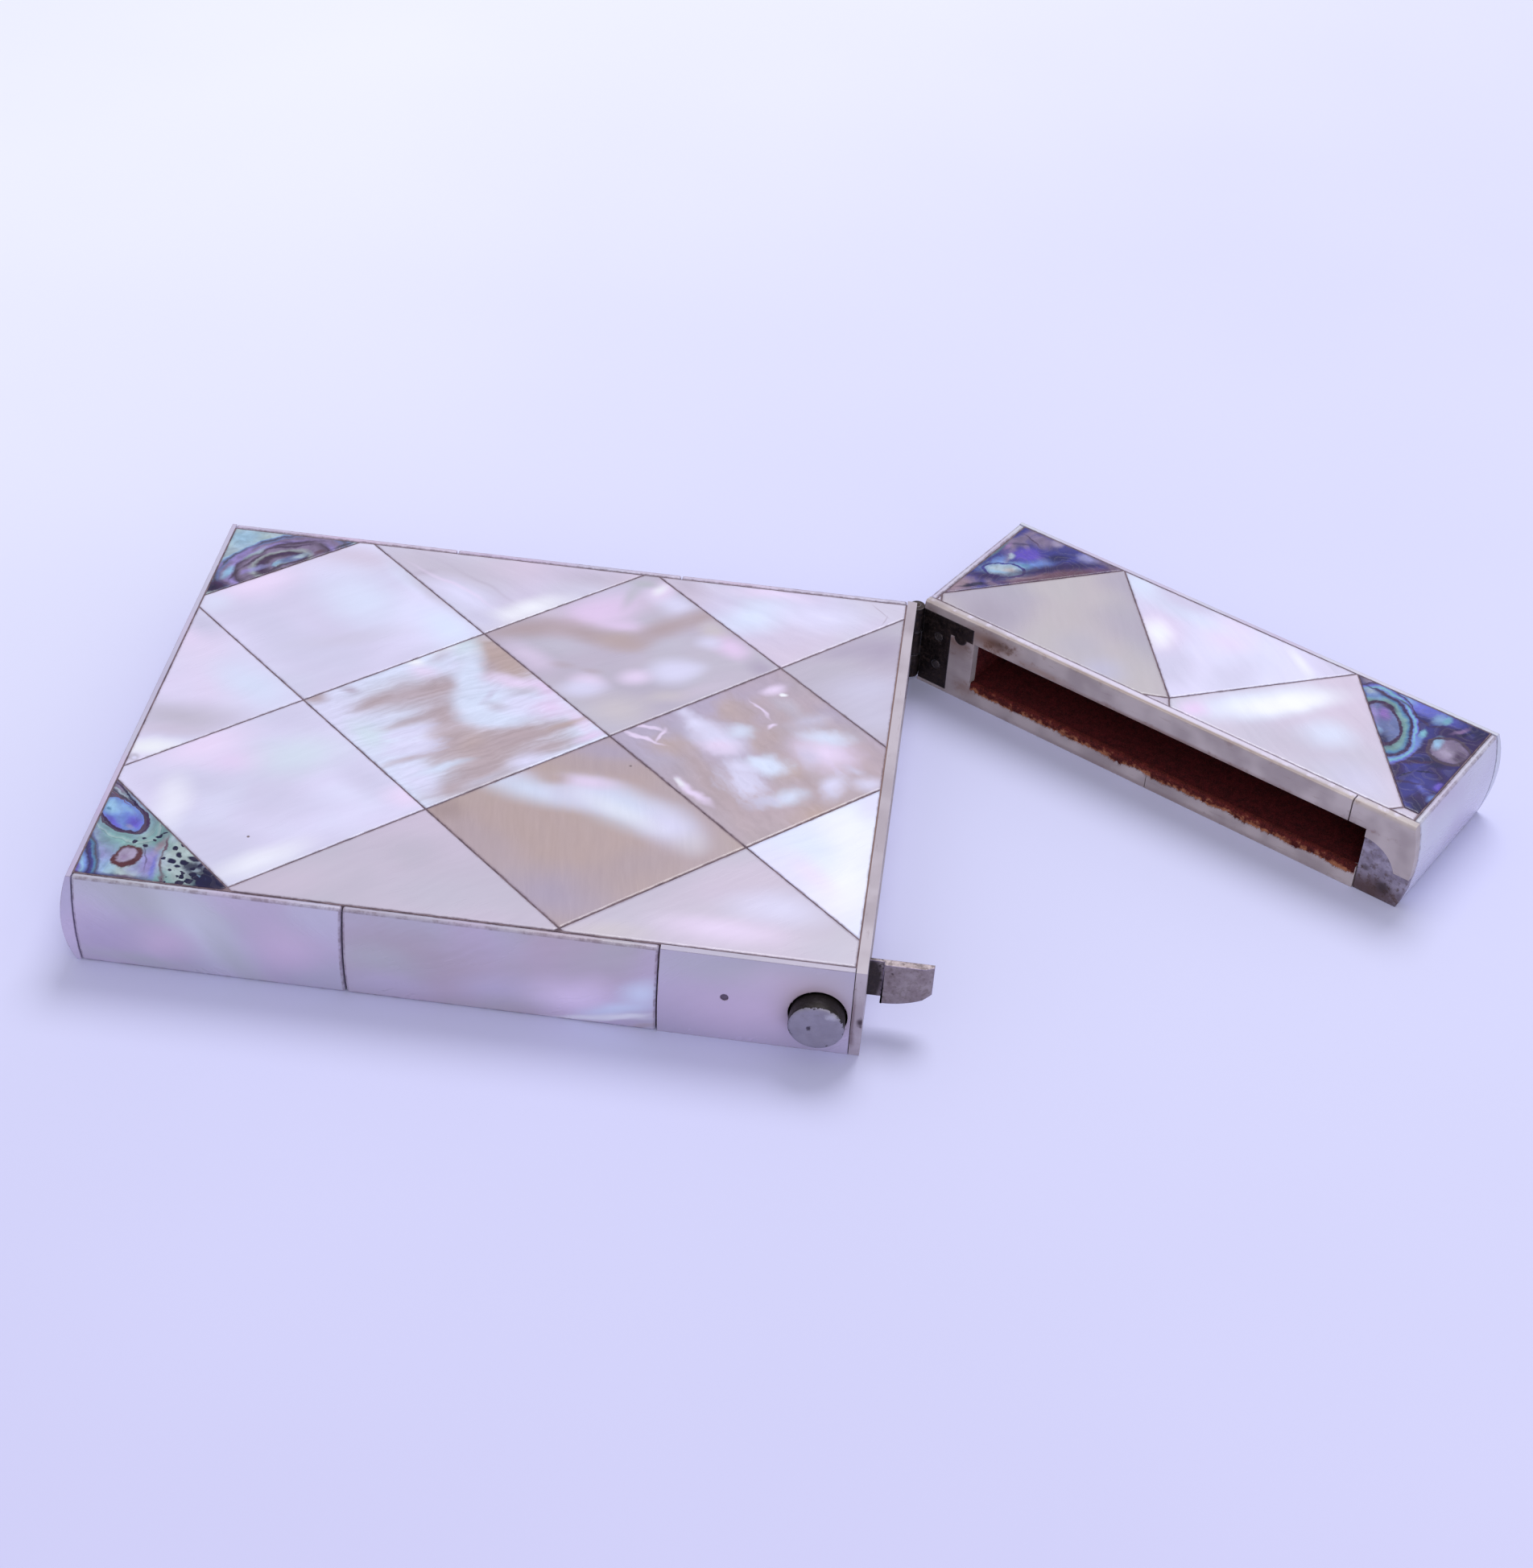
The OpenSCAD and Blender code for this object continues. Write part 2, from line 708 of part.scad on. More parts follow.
// Blocks beside the lid's slot, the catch-side one cut away behind the strike plate
module lid_side_blocks() {
    color(board_wood) swung() {
        difference() {
            block(lid_field_x0, lid_rail_x, slot_y1 + lining_t, field_y1, rail_z0, rail_z1);
            lid_rivet_rods();
        }
        difference() {
            block(lid_field_x0, lid_rail_x, field_y0, lid_slot_y0 - lining_t, rail_z0, rail_z1);
            block(lid_field_x0 - over, pocket_x1, pocket_y0, lid_slot_y0, rail_z0 - over, rail_z1 + over);
        }
    }
}

module lid_lining() {
    color(velvet) swung() difference() {
        block(lid_field_x0, lid_rail_x, lid_slot_y0 - lining_t, slot_y1 + lining_t, rail_z0, rail_z1);
        block(lid_field_x0 - over, lid_rail_x - lining_t, lid_slot_y0, slot_y1, wall_t, slot_z1);
        block(lid_field_x0 - over, pocket_x1, lid_slot_y0 - over, lid_slot_y0 + over, wall_t, slot_z1);
    }
}

// Shell plates of the lid
module lid_plate_catch() { color(pearl) swung() lid_plate(lid_catch_points); }
module lid_plate_middle() { color(pearl) swung() lid_plate(lid_middle_points); }
module lid_plate_hinge() { color(warm_pearl) swung() lid_plate(lid_hinge_points); }
module lid_abalone_catch() { color(abalone) swung() lid_plate(lid_abalone_catch_points); }
module lid_abalone_hinge() { color(abalone) swung() lid_plate(lid_abalone_hinge_points); }
module lid_tips() {
    color(lilac_pearl) swung() {
        lid_plate(centre_tip_points);
        lid_plate(low_tip_points);
        lid_plate(high_tip_points);
    }
}
module lid_under_pearl() {
    color(pearl) swung() flipped()
        translate([0, 0, face_z]) linear_extrude(shell_t) lid_pearl_outlines();
}
module lid_under_abalone() {
    color(abalone) swung() flipped()
        translate([0, 0, face_z]) linear_extrude(shell_t) lid_abalone_outlines();
}
module lid_side_plates() {
    color(pearl) swung() {
        side_strip(lid_field_x0 + joint_gap / 2, lid_field_x1 - joint_gap / 2);
        mirror([0, 1, 0]) side_strip(lid_field_x0 + joint_gap / 2, lid_field_x1 - joint_gap / 2);
    }
}
module lid_end_plate() {
    color(pearl) swung() translate([lid_x1, 0, 0]) end_strip();
}

// Bone rim of the lid
module lid_rim_part() {
    difference() {
        along_x(lid_x0, lid_x0 + rim_t) intersection() {
            width_section();
            children();
        }
        knuckle_relief();
        lid_leaf_plate();
        lid_rivet_rods();
    }
}

module lid_rim_top() {
    color(bone) swung() lid_rim_part()
        translate([catch_y + rim_block_w + joint_gap / 2, case_t - wall_t]) square([far_out, wall_t]);
}

module lid_rim_floor() {
    color(bone) swung() {
        lid_rim_part() translate([lid_slot_y0 + joint_gap / 2, 0])
            square([catch_y + rim_joint_y - lid_slot_y0 - joint_gap, wall_t]);
        lid_rim_part() translate([catch_y + rim_joint_y, 0]) square([far_out, wall_t]);
    }
}

module lid_rim_hinge() {
    color(bone) swung() lid_rim_part() translate([slot_y1, wall_t]) square([far_out, slot_h]);
}

// Outline of the metal strike plate in the rim's catch corner
module strike_outline() {
    strike_r = 4.3;
    strike_z = 3.1;
    corner_h = 4.4;
    intersection() {
        width_section();
        translate([lid_slot_y0 - far_out, 0]) square([far_out, case_t]);
        union() {
            translate([lid_slot_y0, strike_z]) circle(r = strike_r);
            translate([lid_slot_y0 - far_out, 0]) square([far_out, corner_h]);
        }
    }
}

module lid_rim_catch() {
    color(bone) swung() lid_rim_part() difference() {
        union() {
            translate([lid_slot_y0 - far_out, 0]) square([far_out, case_t]);
            translate([catch_y, case_t - wall_t]) square([rim_block_w - joint_gap / 2, wall_t]);
        }
        strike_outline();
    }
}

module strike_plate() {
    strike_sink = 0.15;
    color(grey_metal) swung() along_x(lid_x0 + strike_sink, lid_x0 + rim_t) strike_outline();
}

case_top_board();
case_floor_board();
case_hinge_rail();
case_catch_rail();
case_end_rail();
case_cement();
case_lining();
case_rim_strips();
case_rim_blocks();
top_plate_centre();
top_plate_left_catch();
top_plate_left_hinge();
top_plate_mid_catch();
top_plate_mid_hinge();
top_plate_right();
top_plate_mouth_catch();
top_plate_mouth_hinge();
top_half_end();
top_halves_catch_edge();
top_halves_hinge_edge();
top_abalone_catch();
top_abalone_hinge();
under_pearl();
under_abalone();
catch_side_plate_end();
catch_side_plate_middle();
button_plate();
hinge_side_plates();
end_plate();
case_hinge_leaf();
case_hinge_rivets();
hinge_pin();
button_bush();
spring_rivet();
push_button();
catch_spring();
lid_top_board();
lid_floor_board();
lid_end_rail();
lid_side_blocks();
lid_cement();
lid_lining();
lid_plate_catch();
lid_plate_middle();
lid_plate_hinge();
lid_tips();
lid_abalone_catch();
lid_abalone_hinge();
lid_under_pearl();
lid_under_abalone();
lid_side_plates();
lid_end_plate();
lid_rim_top();
lid_rim_floor();
lid_rim_hinge();
lid_rim_catch();
strike_plate();
lid_hinge_leaf();
lid_hinge_rivets();
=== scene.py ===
import math

import bmesh
import bpy
from mathutils import Matrix, Vector, noise


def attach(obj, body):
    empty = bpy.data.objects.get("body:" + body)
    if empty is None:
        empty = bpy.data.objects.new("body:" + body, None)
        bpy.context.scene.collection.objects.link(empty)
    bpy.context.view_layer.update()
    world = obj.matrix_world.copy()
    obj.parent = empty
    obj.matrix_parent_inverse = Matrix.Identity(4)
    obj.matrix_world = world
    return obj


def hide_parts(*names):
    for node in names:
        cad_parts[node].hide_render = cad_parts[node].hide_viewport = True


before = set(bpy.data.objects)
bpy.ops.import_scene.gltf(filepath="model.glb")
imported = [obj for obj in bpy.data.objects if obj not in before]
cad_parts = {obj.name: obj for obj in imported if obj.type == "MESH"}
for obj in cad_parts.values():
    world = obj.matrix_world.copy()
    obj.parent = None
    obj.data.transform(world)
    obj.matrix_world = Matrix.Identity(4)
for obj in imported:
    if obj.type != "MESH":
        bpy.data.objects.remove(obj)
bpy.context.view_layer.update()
print("card case: CAD frame loaded")

mm = 0.001
floorGap = 0.00002

# Sizes of the CAD model that the scene's own pieces line up with, in mm
caseSizes = {
    "thickness": 11.4,
    "wall": 2.9,
    "mouthX": 40.5,
    "lidX": 40.6,
    "endX": -40.5,
    "lidEndX": 61.7,
    "hingeY": 31.5,
    "bulge": 0.8,
    "pivot": (40.55, 32.4),
    "lidOpen": 60.5,
}


def srgb(red, green, blue):
    # a colour as it reads on screen, 0 to 255, turned linear
    def linear(v):
        v = v / 255
        return v / 12.92 if v <= 0.04045 else ((v + 0.055) / 1.055) ** 2.4

    return (linear(red), linear(green), linear(blue), 1.0)


def feed(tree, socket, value):
    if isinstance(value, bpy.types.NodeSocket):
        tree.links.new(value, socket)
    else:
        socket.default_value = value


def feedAll(tree, sockets, values):
    for key, value in values.items():
        feed(tree, sockets[key], value)


def addNode(tree, kind, inputs=None, **settings):
    made = tree.nodes.new(kind)
    for key, value in settings.items():
        setattr(made, key, value)
    feedAll(tree, made.inputs, inputs or {})
    return made


def maths(tree, operation, a, b=None, c=None, clamp=False):
    inputs = {i: v for i, v in enumerate((a, b, c)) if v is not None}
    return addNode(tree, "ShaderNodeMath", inputs, operation=operation, use_clamp=clamp).outputs[0]


def vectorMaths(tree, operation, a, b=None, scale=None):
    made = tree.nodes.new("ShaderNodeVectorMath")
    made.operation = operation
    feed(tree, made.inputs[0], a)
    if b is not None:
        feed(tree, made.inputs[1], b)
    if scale is not None:
        feed(tree, made.inputs["Scale"], scale)
    return made.outputs["Value" if operation in ("LENGTH", "DOT_PRODUCT", "DISTANCE") else "Vector"]


def mixColour(tree, factor, a, b, blend="MIX"):
    inputs = {"Factor": factor, "A": a, "B": b}
    return addNode(tree, "ShaderNodeMix", inputs, data_type="RGBA", blend_type=blend).outputs["Result"]


def shaded(tree, colour, value):
    # a colour made darker or lighter by a value round 1
    grey = addNode(tree, "ShaderNodeCombineXYZ", {0: value, 1: value, 2: value})
    return mixColour(tree, 1.0, colour, grey.outputs[0], "MULTIPLY")


def mapRange(tree, value, low, high, toLow=0.0, toHigh=1.0, smooth=True):
    inputs = dict(enumerate((value, low, high, toLow, toHigh)))
    kind = "SMOOTHSTEP" if smooth else "LINEAR"
    return addNode(tree, "ShaderNodeMapRange", inputs, interpolation_type=kind).outputs["Result"]


def noiseValue(tree, vector, scale, detail=2.0, rough=0.5, seed=0.0, colour=False):
    inputs = {"Vector": vector, "Scale": scale, "Detail": detail, "Roughness": rough, "W": seed}
    made = addNode(tree, "ShaderNodeTexNoise", inputs, noise_dimensions="4D")
    return made.outputs["Color" if colour else "Fac"]


def colourRamp(tree, value, stops, interpolation="LINEAR"):
    made = tree.nodes.new("ShaderNodeValToRGB")
    ramp = made.color_ramp
    ramp.interpolation = interpolation
    while len(ramp.elements) < len(stops):
        ramp.elements.new(0.5)
    for element, (place, colour) in zip(ramp.elements, stops):
        element.position = place
        element.color = colour
    feed(tree, made.inputs["Fac"], value)
    return made.outputs["Color"]


def newGroup(name, inputs, outputs):
    # inputs give their defaults: a plain number is a value, a triple or nothing a vector
    group = bpy.data.node_groups.new(name, "ShaderNodeTree")
    for key, default in inputs.items():
        kind = "NodeSocketFloat" if isinstance(default, float) else "NodeSocketVector"
        socket = group.interface.new_socket(key, in_out="INPUT", socket_type=kind)
        if default is not None:
            socket.default_value = default
    for key in outputs:
        kind = "NodeSocketVector" if key == "Warped" else "NodeSocketFloat"
        group.interface.new_socket(key, in_out="OUTPUT", socket_type=kind)
    start = group.nodes.new("NodeGroupInput")
    end = group.nodes.new("NodeGroupOutput")
    return group, start.outputs, end.inputs


def useGroup(tree, group, inputs):
    return addNode(tree, "ShaderNodeGroup", inputs, node_tree=group).outputs


def newMaterial(name):
    material = bpy.data.materials.new(name)
    material.use_nodes = True
    tree = material.node_tree
    tree.nodes.clear()
    shader = tree.nodes.new("ShaderNodeBsdfPrincipled")
    addNode(tree, "ShaderNodeOutputMaterial", {"Surface": shader.outputs[0]})
    return material, tree, shader


def finishSurface(tree, shader, colour, rough, height, strength, depth, more=None):
    # colour, roughness and bump of a material; depth of the bump in mm
    bump = addNode(tree, "ShaderNodeBump", {"Strength": strength, "Distance": depth * mm, "Height": height})
    feedAll(tree, shader.inputs, {"Base Color": colour, "Roughness": rough, "Normal": bump.outputs[0]})
    feedAll(tree, shader.inputs, more or {})


def closedTurn(onLid=True, scale=1.0):
    # turns the lid from its open place back to the closed one
    if not onLid:
        return Matrix.Identity(4)
    pivot = Matrix.Translation(Vector((*caseSizes["pivot"], 0)) * mm * scale)
    return pivot @ Matrix.Rotation(-math.radians(caseSizes["lidOpen"]), 4, "Z") @ pivot.inverted()


def objectVector(tree, onLid=False, plane="face"):
    # Object coordinates in mm; on the lid turned back to the closed place
    coords = tree.nodes.new("ShaderNodeTexCoord")
    place = tree.nodes.new("ShaderNodeMapping")
    place.inputs["Scale"].default_value = (1000, 1000, 1000)
    if onLid:
        place.inputs["Rotation"].default_value = (0, 0, -math.radians(caseSizes["lidOpen"]))
        place.inputs["Location"].default_value = closedTurn(scale=1000).to_translation()
    tree.links.new(coords.outputs["Object"], place.inputs["Vector"])
    if plane == "face":
        return place.outputs["Vector"]
    # the pattern of a narrow side runs along the side and up it
    x, y, z = addNode(tree, "ShaderNodeSeparateXYZ", {0: place.outputs["Vector"]}).outputs
    order = (x, z, y) if plane == "side" else (y, z, x)
    return addNode(tree, "ShaderNodeCombineXYZ", dict(enumerate(order))).outputs[0]


def turnedBack(tree, vector, angle):
    back = maths(tree, "MULTIPLY", angle, -1.0)
    turn = addNode(tree, "ShaderNodeVectorRotate", {"Vector": vector, "Angle": back}, rotation_type="Z_AXIS")
    return turn.outputs[0]


def strayed(tree, vector, scale, reach, seed):
    # a place pushed about by noise
    push = noiseValue(tree, vector, scale, seed=seed, colour=True)
    push = vectorMaths(tree, "SUBTRACT", push, (0.5, 0.5, 0.5))
    return vectorMaths(tree, "ADD", vector, vectorMaths(tree, "SCALE", push, scale=reach))


def seededNoise(group, given, shift, vector, scale, detail, rough):
    # noise that starts from the group's own seed
    return noiseValue(group, vector, scale, detail, rough, maths(group, "ADD", given["Seed"], shift))


def makeSoftPatch():
    # a soft-edged oval mask at a place on the piece
    group, given, out = newGroup("softPatch", {
        "Vector": None, "Centre": (0, 0, 0), "Size": (1, 1, 1), "Angle": 0.0, "Softness": 0.4, "Ragged": 0.0,
        "Strength": 1.0}, ("Mask", "Distance"))
    moved = vectorMaths(group, "SUBTRACT", given["Vector"], given["Centre"])
    shrunk = vectorMaths(group, "DIVIDE", turnedBack(group, moved, given["Angle"]), given["Size"])
    reach = maths(group, "ADD", vectorMaths(group, "LENGTH", shrunk), given["Ragged"])
    inner = maths(group, "SUBTRACT", 1.0, given["Softness"])
    outer = maths(group, "MULTIPLY_ADD", given["Softness"], 0.35, 1.0)
    mask = mapRange(group, reach, inner, outer, 1.0, 0.0)
    feedAll(group, out, {"Mask": maths(group, "MULTIPLY", mask, given["Strength"]), "Distance": reach})
    return group


def makeShellFigure():
    # the waves, streaks and growth lines inside mother-of-pearl
    group, given, out = newGroup("shellFigure", {
        "Vector": None, "Warp": 1.5, "Warp Scale": 0.12, "Wave Scale": 0.07, "Streak Angle": 0.0,
        "Streak Width": 1.6, "Streak Length": 0.16, "Line Spacing": 2.0, "Seed": 0.0,
    }, ("Warped", "Waves", "Streaks", "Lines", "Tint"))
    reach = maths(group, "MULTIPLY", given["Warp"], 2.0)
    warped = strayed(group, given["Vector"], given["Warp Scale"], reach, given["Seed"])
    turned = turnedBack(group, warped, given["Streak Angle"])
    drawn = addNode(group, "ShaderNodeCombineXYZ", {
        0: given["Streak Length"], 1: given["Streak Width"], 2: given["Streak Width"]})
    stretched = vectorMaths(group, "MULTIPLY", turned, drawn.outputs[0])
    streaks = seededNoise(group, given, 7.3, stretched, 1.0, 3.0, 0.6)
    waves = seededNoise(group, given, 3.1, warped, given["Wave Scale"], 1.0, 0.4)
    tintScale = maths(group, "MULTIPLY", given["Wave Scale"], 1.7)
    tint = seededNoise(group, given, 11.7, warped, tintScale, 1.0, 0.4)
    bent = seededNoise(group, given, 0.0, warped, 0.25, 2.0, 0.5)
    across = addNode(group, "ShaderNodeSeparateXYZ", {0: turned}).outputs[1]
    phase = maths(group, "MULTIPLY_ADD", across, given["Line Spacing"], maths(group, "MULTIPLY", bent, 9.0))
    feedAll(group, out, {
        "Warped": warped,
        "Waves": mapRange(group, waves, 0.36, 0.64),
        "Streaks": maths(group, "SUBTRACT", streaks, 0.5),
        "Lines": maths(group, "MULTIPLY_ADD", maths(group, "SINE", phase), 0.5, 0.5),
        "Tint": mapRange(group, tint, 0.36, 0.64),
    })
    return group


def makeJointGrime():
    # dirt caught along a plate's worn arris; Edge is 1 on the outline and 0 inside
    group, given, out = newGroup("jointGrime", {
        "Vector": None, "Edge": 0.0, "Amount": 0.6, "Scale": 1.1, "Seed": 0.0}, ("Mask",))
    blots = noiseValue(group, given["Vector"], given["Scale"], 3.0, 0.65, given["Seed"])
    blots = mapRange(group, blots, 0.38, 0.66)
    edge = maths(group, "POWER", given["Edge"], 1.9)
    mask = maths(group, "MULTIPLY", edge, maths(group, "MULTIPLY_ADD", blots, 0.75, 0.25))
    feed(group, out["Mask"], maths(group, "MULTIPLY", mask, given["Amount"], clamp=True))
    return group


def makeAbaloneFlow():
    # bends the drawn figure of ear-shell and gives it fine lines and a rolling sheen
    group, given, out = newGroup("abaloneFlow", {"Vector": None, "Warp": 0.3, "Seed": 0.0},
                                 ("Warped", "Flow", "Lines", "Fray", "Sheen"))
    warped = given["Vector"]
    for scale, share in ((0.45, 2.0), (1.9, 0.7)):
        reach = maths(group, "MULTIPLY", given["Warp"], share * 2)
        warped = strayed(group, warped, scale, reach, given["Seed"])
    flow = seededNoise(group, given, 5.5, warped, 0.2, 1.0, 0.4)
    saw = maths(group, "PINGPONG", maths(group, "MULTIPLY", flow, 17.0), 0.5)
    thick = seededNoise(group, given, 9.1, warped, 0.7, 1.0, 0.5)
    width = mapRange(group, thick, 0.35, 0.7, 0.02, 0.14)
    fray = seededNoise(group, given, 13.0, warped, 2.6, 2.0, 0.6)
    sheen = seededNoise(group, given, 17.0, warped, 0.9, 2.0, 0.5)
    feedAll(group, out, {
        "Warped": warped,
        "Flow": mapRange(group, flow, 0.3, 0.7),
        "Lines": mapRange(group, saw, width, maths(group, "ADD", width, 0.1), 1.0, 0.0),
        "Fray": maths(group, "MULTIPLY_ADD", fray, 0.3, -0.15),
        "Sheen": mapRange(group, sheen, 0.3, 0.7, 0.78, 1.04),
    })
    return group


def makeBoneGrain():
    # fine lengthwise pores and a slow cloudy tone
    group, given, out = newGroup("boneGrain", {"Vector": None, "Stretch": (1.0, 1.0, 1.0), "Seed": 0.0},
                                 ("Pores", "Cloud", "Stain"))
    vector = given["Vector"]
    drawn = vectorMaths(group, "MULTIPLY", vector, given["Stretch"])
    feedAll(group, out, {
        "Pores": mapRange(group, seededNoise(group, given, 0.0, drawn, 3.2, 3.0, 0.7), 0.58, 0.74),
        "Cloud": mapRange(group, seededNoise(group, given, 4.0, vector, 0.22, 2.0, 0.5), 0.35, 0.65),
        "Stain": mapRange(group, seededNoise(group, given, 8.0, vector, 0.8, 4.0, 0.65), 0.5, 0.72),
    })
    return group


def makeMetalWear():
    # tarnish, dirt and fine scratches on small metal parts
    group, given, out = newGroup("metalWear", {
        "Vector": None, "Scale": 1.0, "Scratch Stretch": (1.0, 1.0, 1.0), "Seed": 0.0,
    }, ("Tarnish", "Dirt", "Scratches", "Pits"))
    vector = given["Vector"]
    spots = []
    for shift, size, detail, rough in ((0.0, 0.6, 3.0, 0.55), (2.0, 1.6, 5.0, 0.65), (12.0, 4.5, 2.0, 0.5)):
        scale = maths(group, "MULTIPLY", given["Scale"], size)
        spots.append(seededNoise(group, given, shift, vector, scale, detail, rough))
    tarnish, dirt, pits = spots
    drawn = vectorMaths(group, "MULTIPLY", vector, given["Scratch Stretch"])
    scratches = seededNoise(group, given, 6.0, drawn, 4.0, 2.0, 0.6)
    feedAll(group, out, {
        "Tarnish": mapRange(group, tarnish, 0.35, 0.65),
        "Dirt": mapRange(group, dirt, 0.48, 0.66),
        "Scratches": mapRange(group, scratches, 0.3, 0.7),
        "Pits": mapRange(group, pits, 0.66, 0.76),
    })
    return group


softPatch = makeSoftPatch()
shellFigure = makeShellFigure()
jointGrime = makeJointGrime()
abaloneFlow = makeAbaloneFlow()
boneGrain = makeBoneGrain()
metalWear = makeMetalWear()
print("card case: shader groups made")


def patchMask(tree, vector, centre, size, angle=0, softness=0.5, ragged=0.0, strength=1.0):
    # place and half sizes in mm; without a third one the patch goes right through the piece
    centre, size = (*centre, 0.0)[:3], (*size, 1000.0)[:3]
    return useGroup(tree, softPatch, {
        "Vector": vector, "Centre": centre, "Size": size, "Angle": math.radians(angle), "Softness": softness,
        "Ragged": ragged, "Strength": strength})["Mask"]


def addStainsAndPaintedLight(tree, colour, vector, stains, wander=0.0):
    # each row: place, half sizes, angle, tone, strength and softness, in mm; a row is a stain, and some rows
    # on the metal parts are painted shade or a painted highlight
    for *place, angle, tone, strength, softness in stains:
        half = len(place) // 2
        mask = patchMask(tree, vector, place[:half], place[half:], angle, softness, wander, strength)
        colour = mixColour(tree, mask, colour, srgb(*tone))
    return colour


def coloursOf(spec, *names):
    return [srgb(*spec[name]) for name in names]


def edgeFade(tree):
    return addNode(tree, "ShaderNodeAttribute", attribute_name="edge").outputs["Fac"]


def grimeMask(tree, vector, amount, seed, scale=1.1):
    return useGroup(tree, jointGrime, {
        "Vector": vector, "Edge": edgeFade(tree), "Amount": amount, "Scale": scale, "Seed": seed})["Mask"]


# mother-of-pearl; tones are levels on screen, 0 to 255

toneLevels = {
    "lilacWhite": (219, 217, 251), "pinkWhite": (230, 213, 248), "pink": (227, 203, 243),
    # white is the tone of the highlights painted on the shell
    "blueWhite": (215, 225, 254), "mint": (206, 222, 238), "white": (240, 242, 255),
    "lilac": (202, 199, 230), "pinkGrey": (204, 192, 217), "grey": (194, 189, 212),
    "beigeGrey": (190, 183, 205), "greyMauve": (182, 172, 196), "mauve": (172, 160, 190),
    "cream": (204, 195, 206), "tan": (184, 162, 163), "orangeTan": (187, 162, 155),
    "roseBrown": (178, 159, 170), "warmBrown": (160, 138, 142), "dark": (120, 104, 112),
    # the ...Side tones are the shell's tones on the narrow sides, with the shade that falls there painted in
    "lilacSide": (194, 185, 218), "mauveSide": (180, 170, 200), "violetSide": (180, 168, 208),
    "pinkSide": (208, 188, 222), "roseSide": (178, 164, 184), "paleSide": (206, 208, 230),
    "greenGrey": (182, 184, 198),
}

tones = {name: srgb(*levels) for name, levels in toneLevels.items()}

pearlLook = {
    # what a plate has unless its own row says otherwise; angle in degrees, scales per mm
    "plane": "face", "warp": 1.2, "warpScale": 0.14, "waveScale": 0.075, "streakAngle": 40,
    "streakWidth": 1.5, "streakLength": 0.2, "tint": 0.18, "ragged": 0, "torn": 0.5, "spread": 1.35,
    "soften": 1.15, "silk": 0.18, "depth": 0.95, "lines": 0.03, "grime": 0.62, "grimeTone": (104, 82, 98),
    "patches": (), "pits": (),
}


def pearlMaterial(name, spec, onLid=False):
    look = {**pearlLook, **spec}
    material, tree, shader = newMaterial(name)
    vector = objectVector(tree, onLid, look["plane"])
    figure = useGroup(tree, shellFigure, {
        "Vector": vector, "Warp": look["warp"], "Warp Scale": look["warpScale"],
        "Wave Scale": look["waveScale"], "Streak Angle": math.radians(look["streakAngle"]),
        "Streak Width": look["streakWidth"], "Streak Length": look["streakLength"], "Seed": look["seed"]})
    waves, streaks, lines = figure["Waves"], figure["Streaks"], figure["Lines"]
    colour = mixColour(tree, waves, *(tones[tone] for tone in look["base"]))
    tint = mixColour(tree, figure["Tint"], tones["pink"], tones["mint"])
    colour = mixColour(tree, look["tint"], colour, tint)
    ragged, torn = (maths(tree, "MULTIPLY", streaks, look[key] * 4) for key in ("ragged", "torn"))
    # patches lay the shell's figure; those in the white tone are painted highlights
    for x, y, rx, ry, angle, tone, strength, *more in look["patches"]:
        edge = torn if len(more) > 1 else ragged
        softness = min(1.0, (more[0] if more else 0.9) * look["soften"])
        size = (rx * look["spread"], ry * look["spread"])
        mask = patchMask(tree, figure["Warped"], (x, y), size, angle, softness, edge, strength)
        colour = mixColour(tree, mask, colour, tones[tone])
    # silky streaks that follow the growth of the shell
    colour = shaded(tree, colour, maths(tree, "MULTIPLY_ADD", streaks, look["silk"], look["depth"]))
    colour = mixColour(tree, maths(tree, "MULTIPLY", lines, look["lines"]), colour, tones["mauve"])
    for x, y, r in look["pits"]:
        colour = mixColour(tree, patchMask(tree, vector, (x, y), (r, r)), colour, tones["dark"])
    grime = grimeMask(tree, vector, look["grime"], look["seed"])
    colour = mixColour(tree, grime, colour, srgb(*look["grimeTone"]))
    rough = maths(tree, "MULTIPLY_ADD", waves, 0.08, 0.24)
    height = waves
    for value, roughShare, heightShare in ((streaks, 0.12, 0.25), (lines, 0.0, 0.02), (grime, 0.4, -0.3)):
        rough = maths(tree, "MULTIPLY_ADD", value, roughShare, rough)
        height = maths(tree, "MULTIPLY_ADD", value, heightShare, height)
    finishSurface(tree, shader, colour, rough, height, 0.35, 0.06, {
        "Coat Weight": 0.1, "Coat Roughness": 0.12, "IOR": 1.5})
    return material


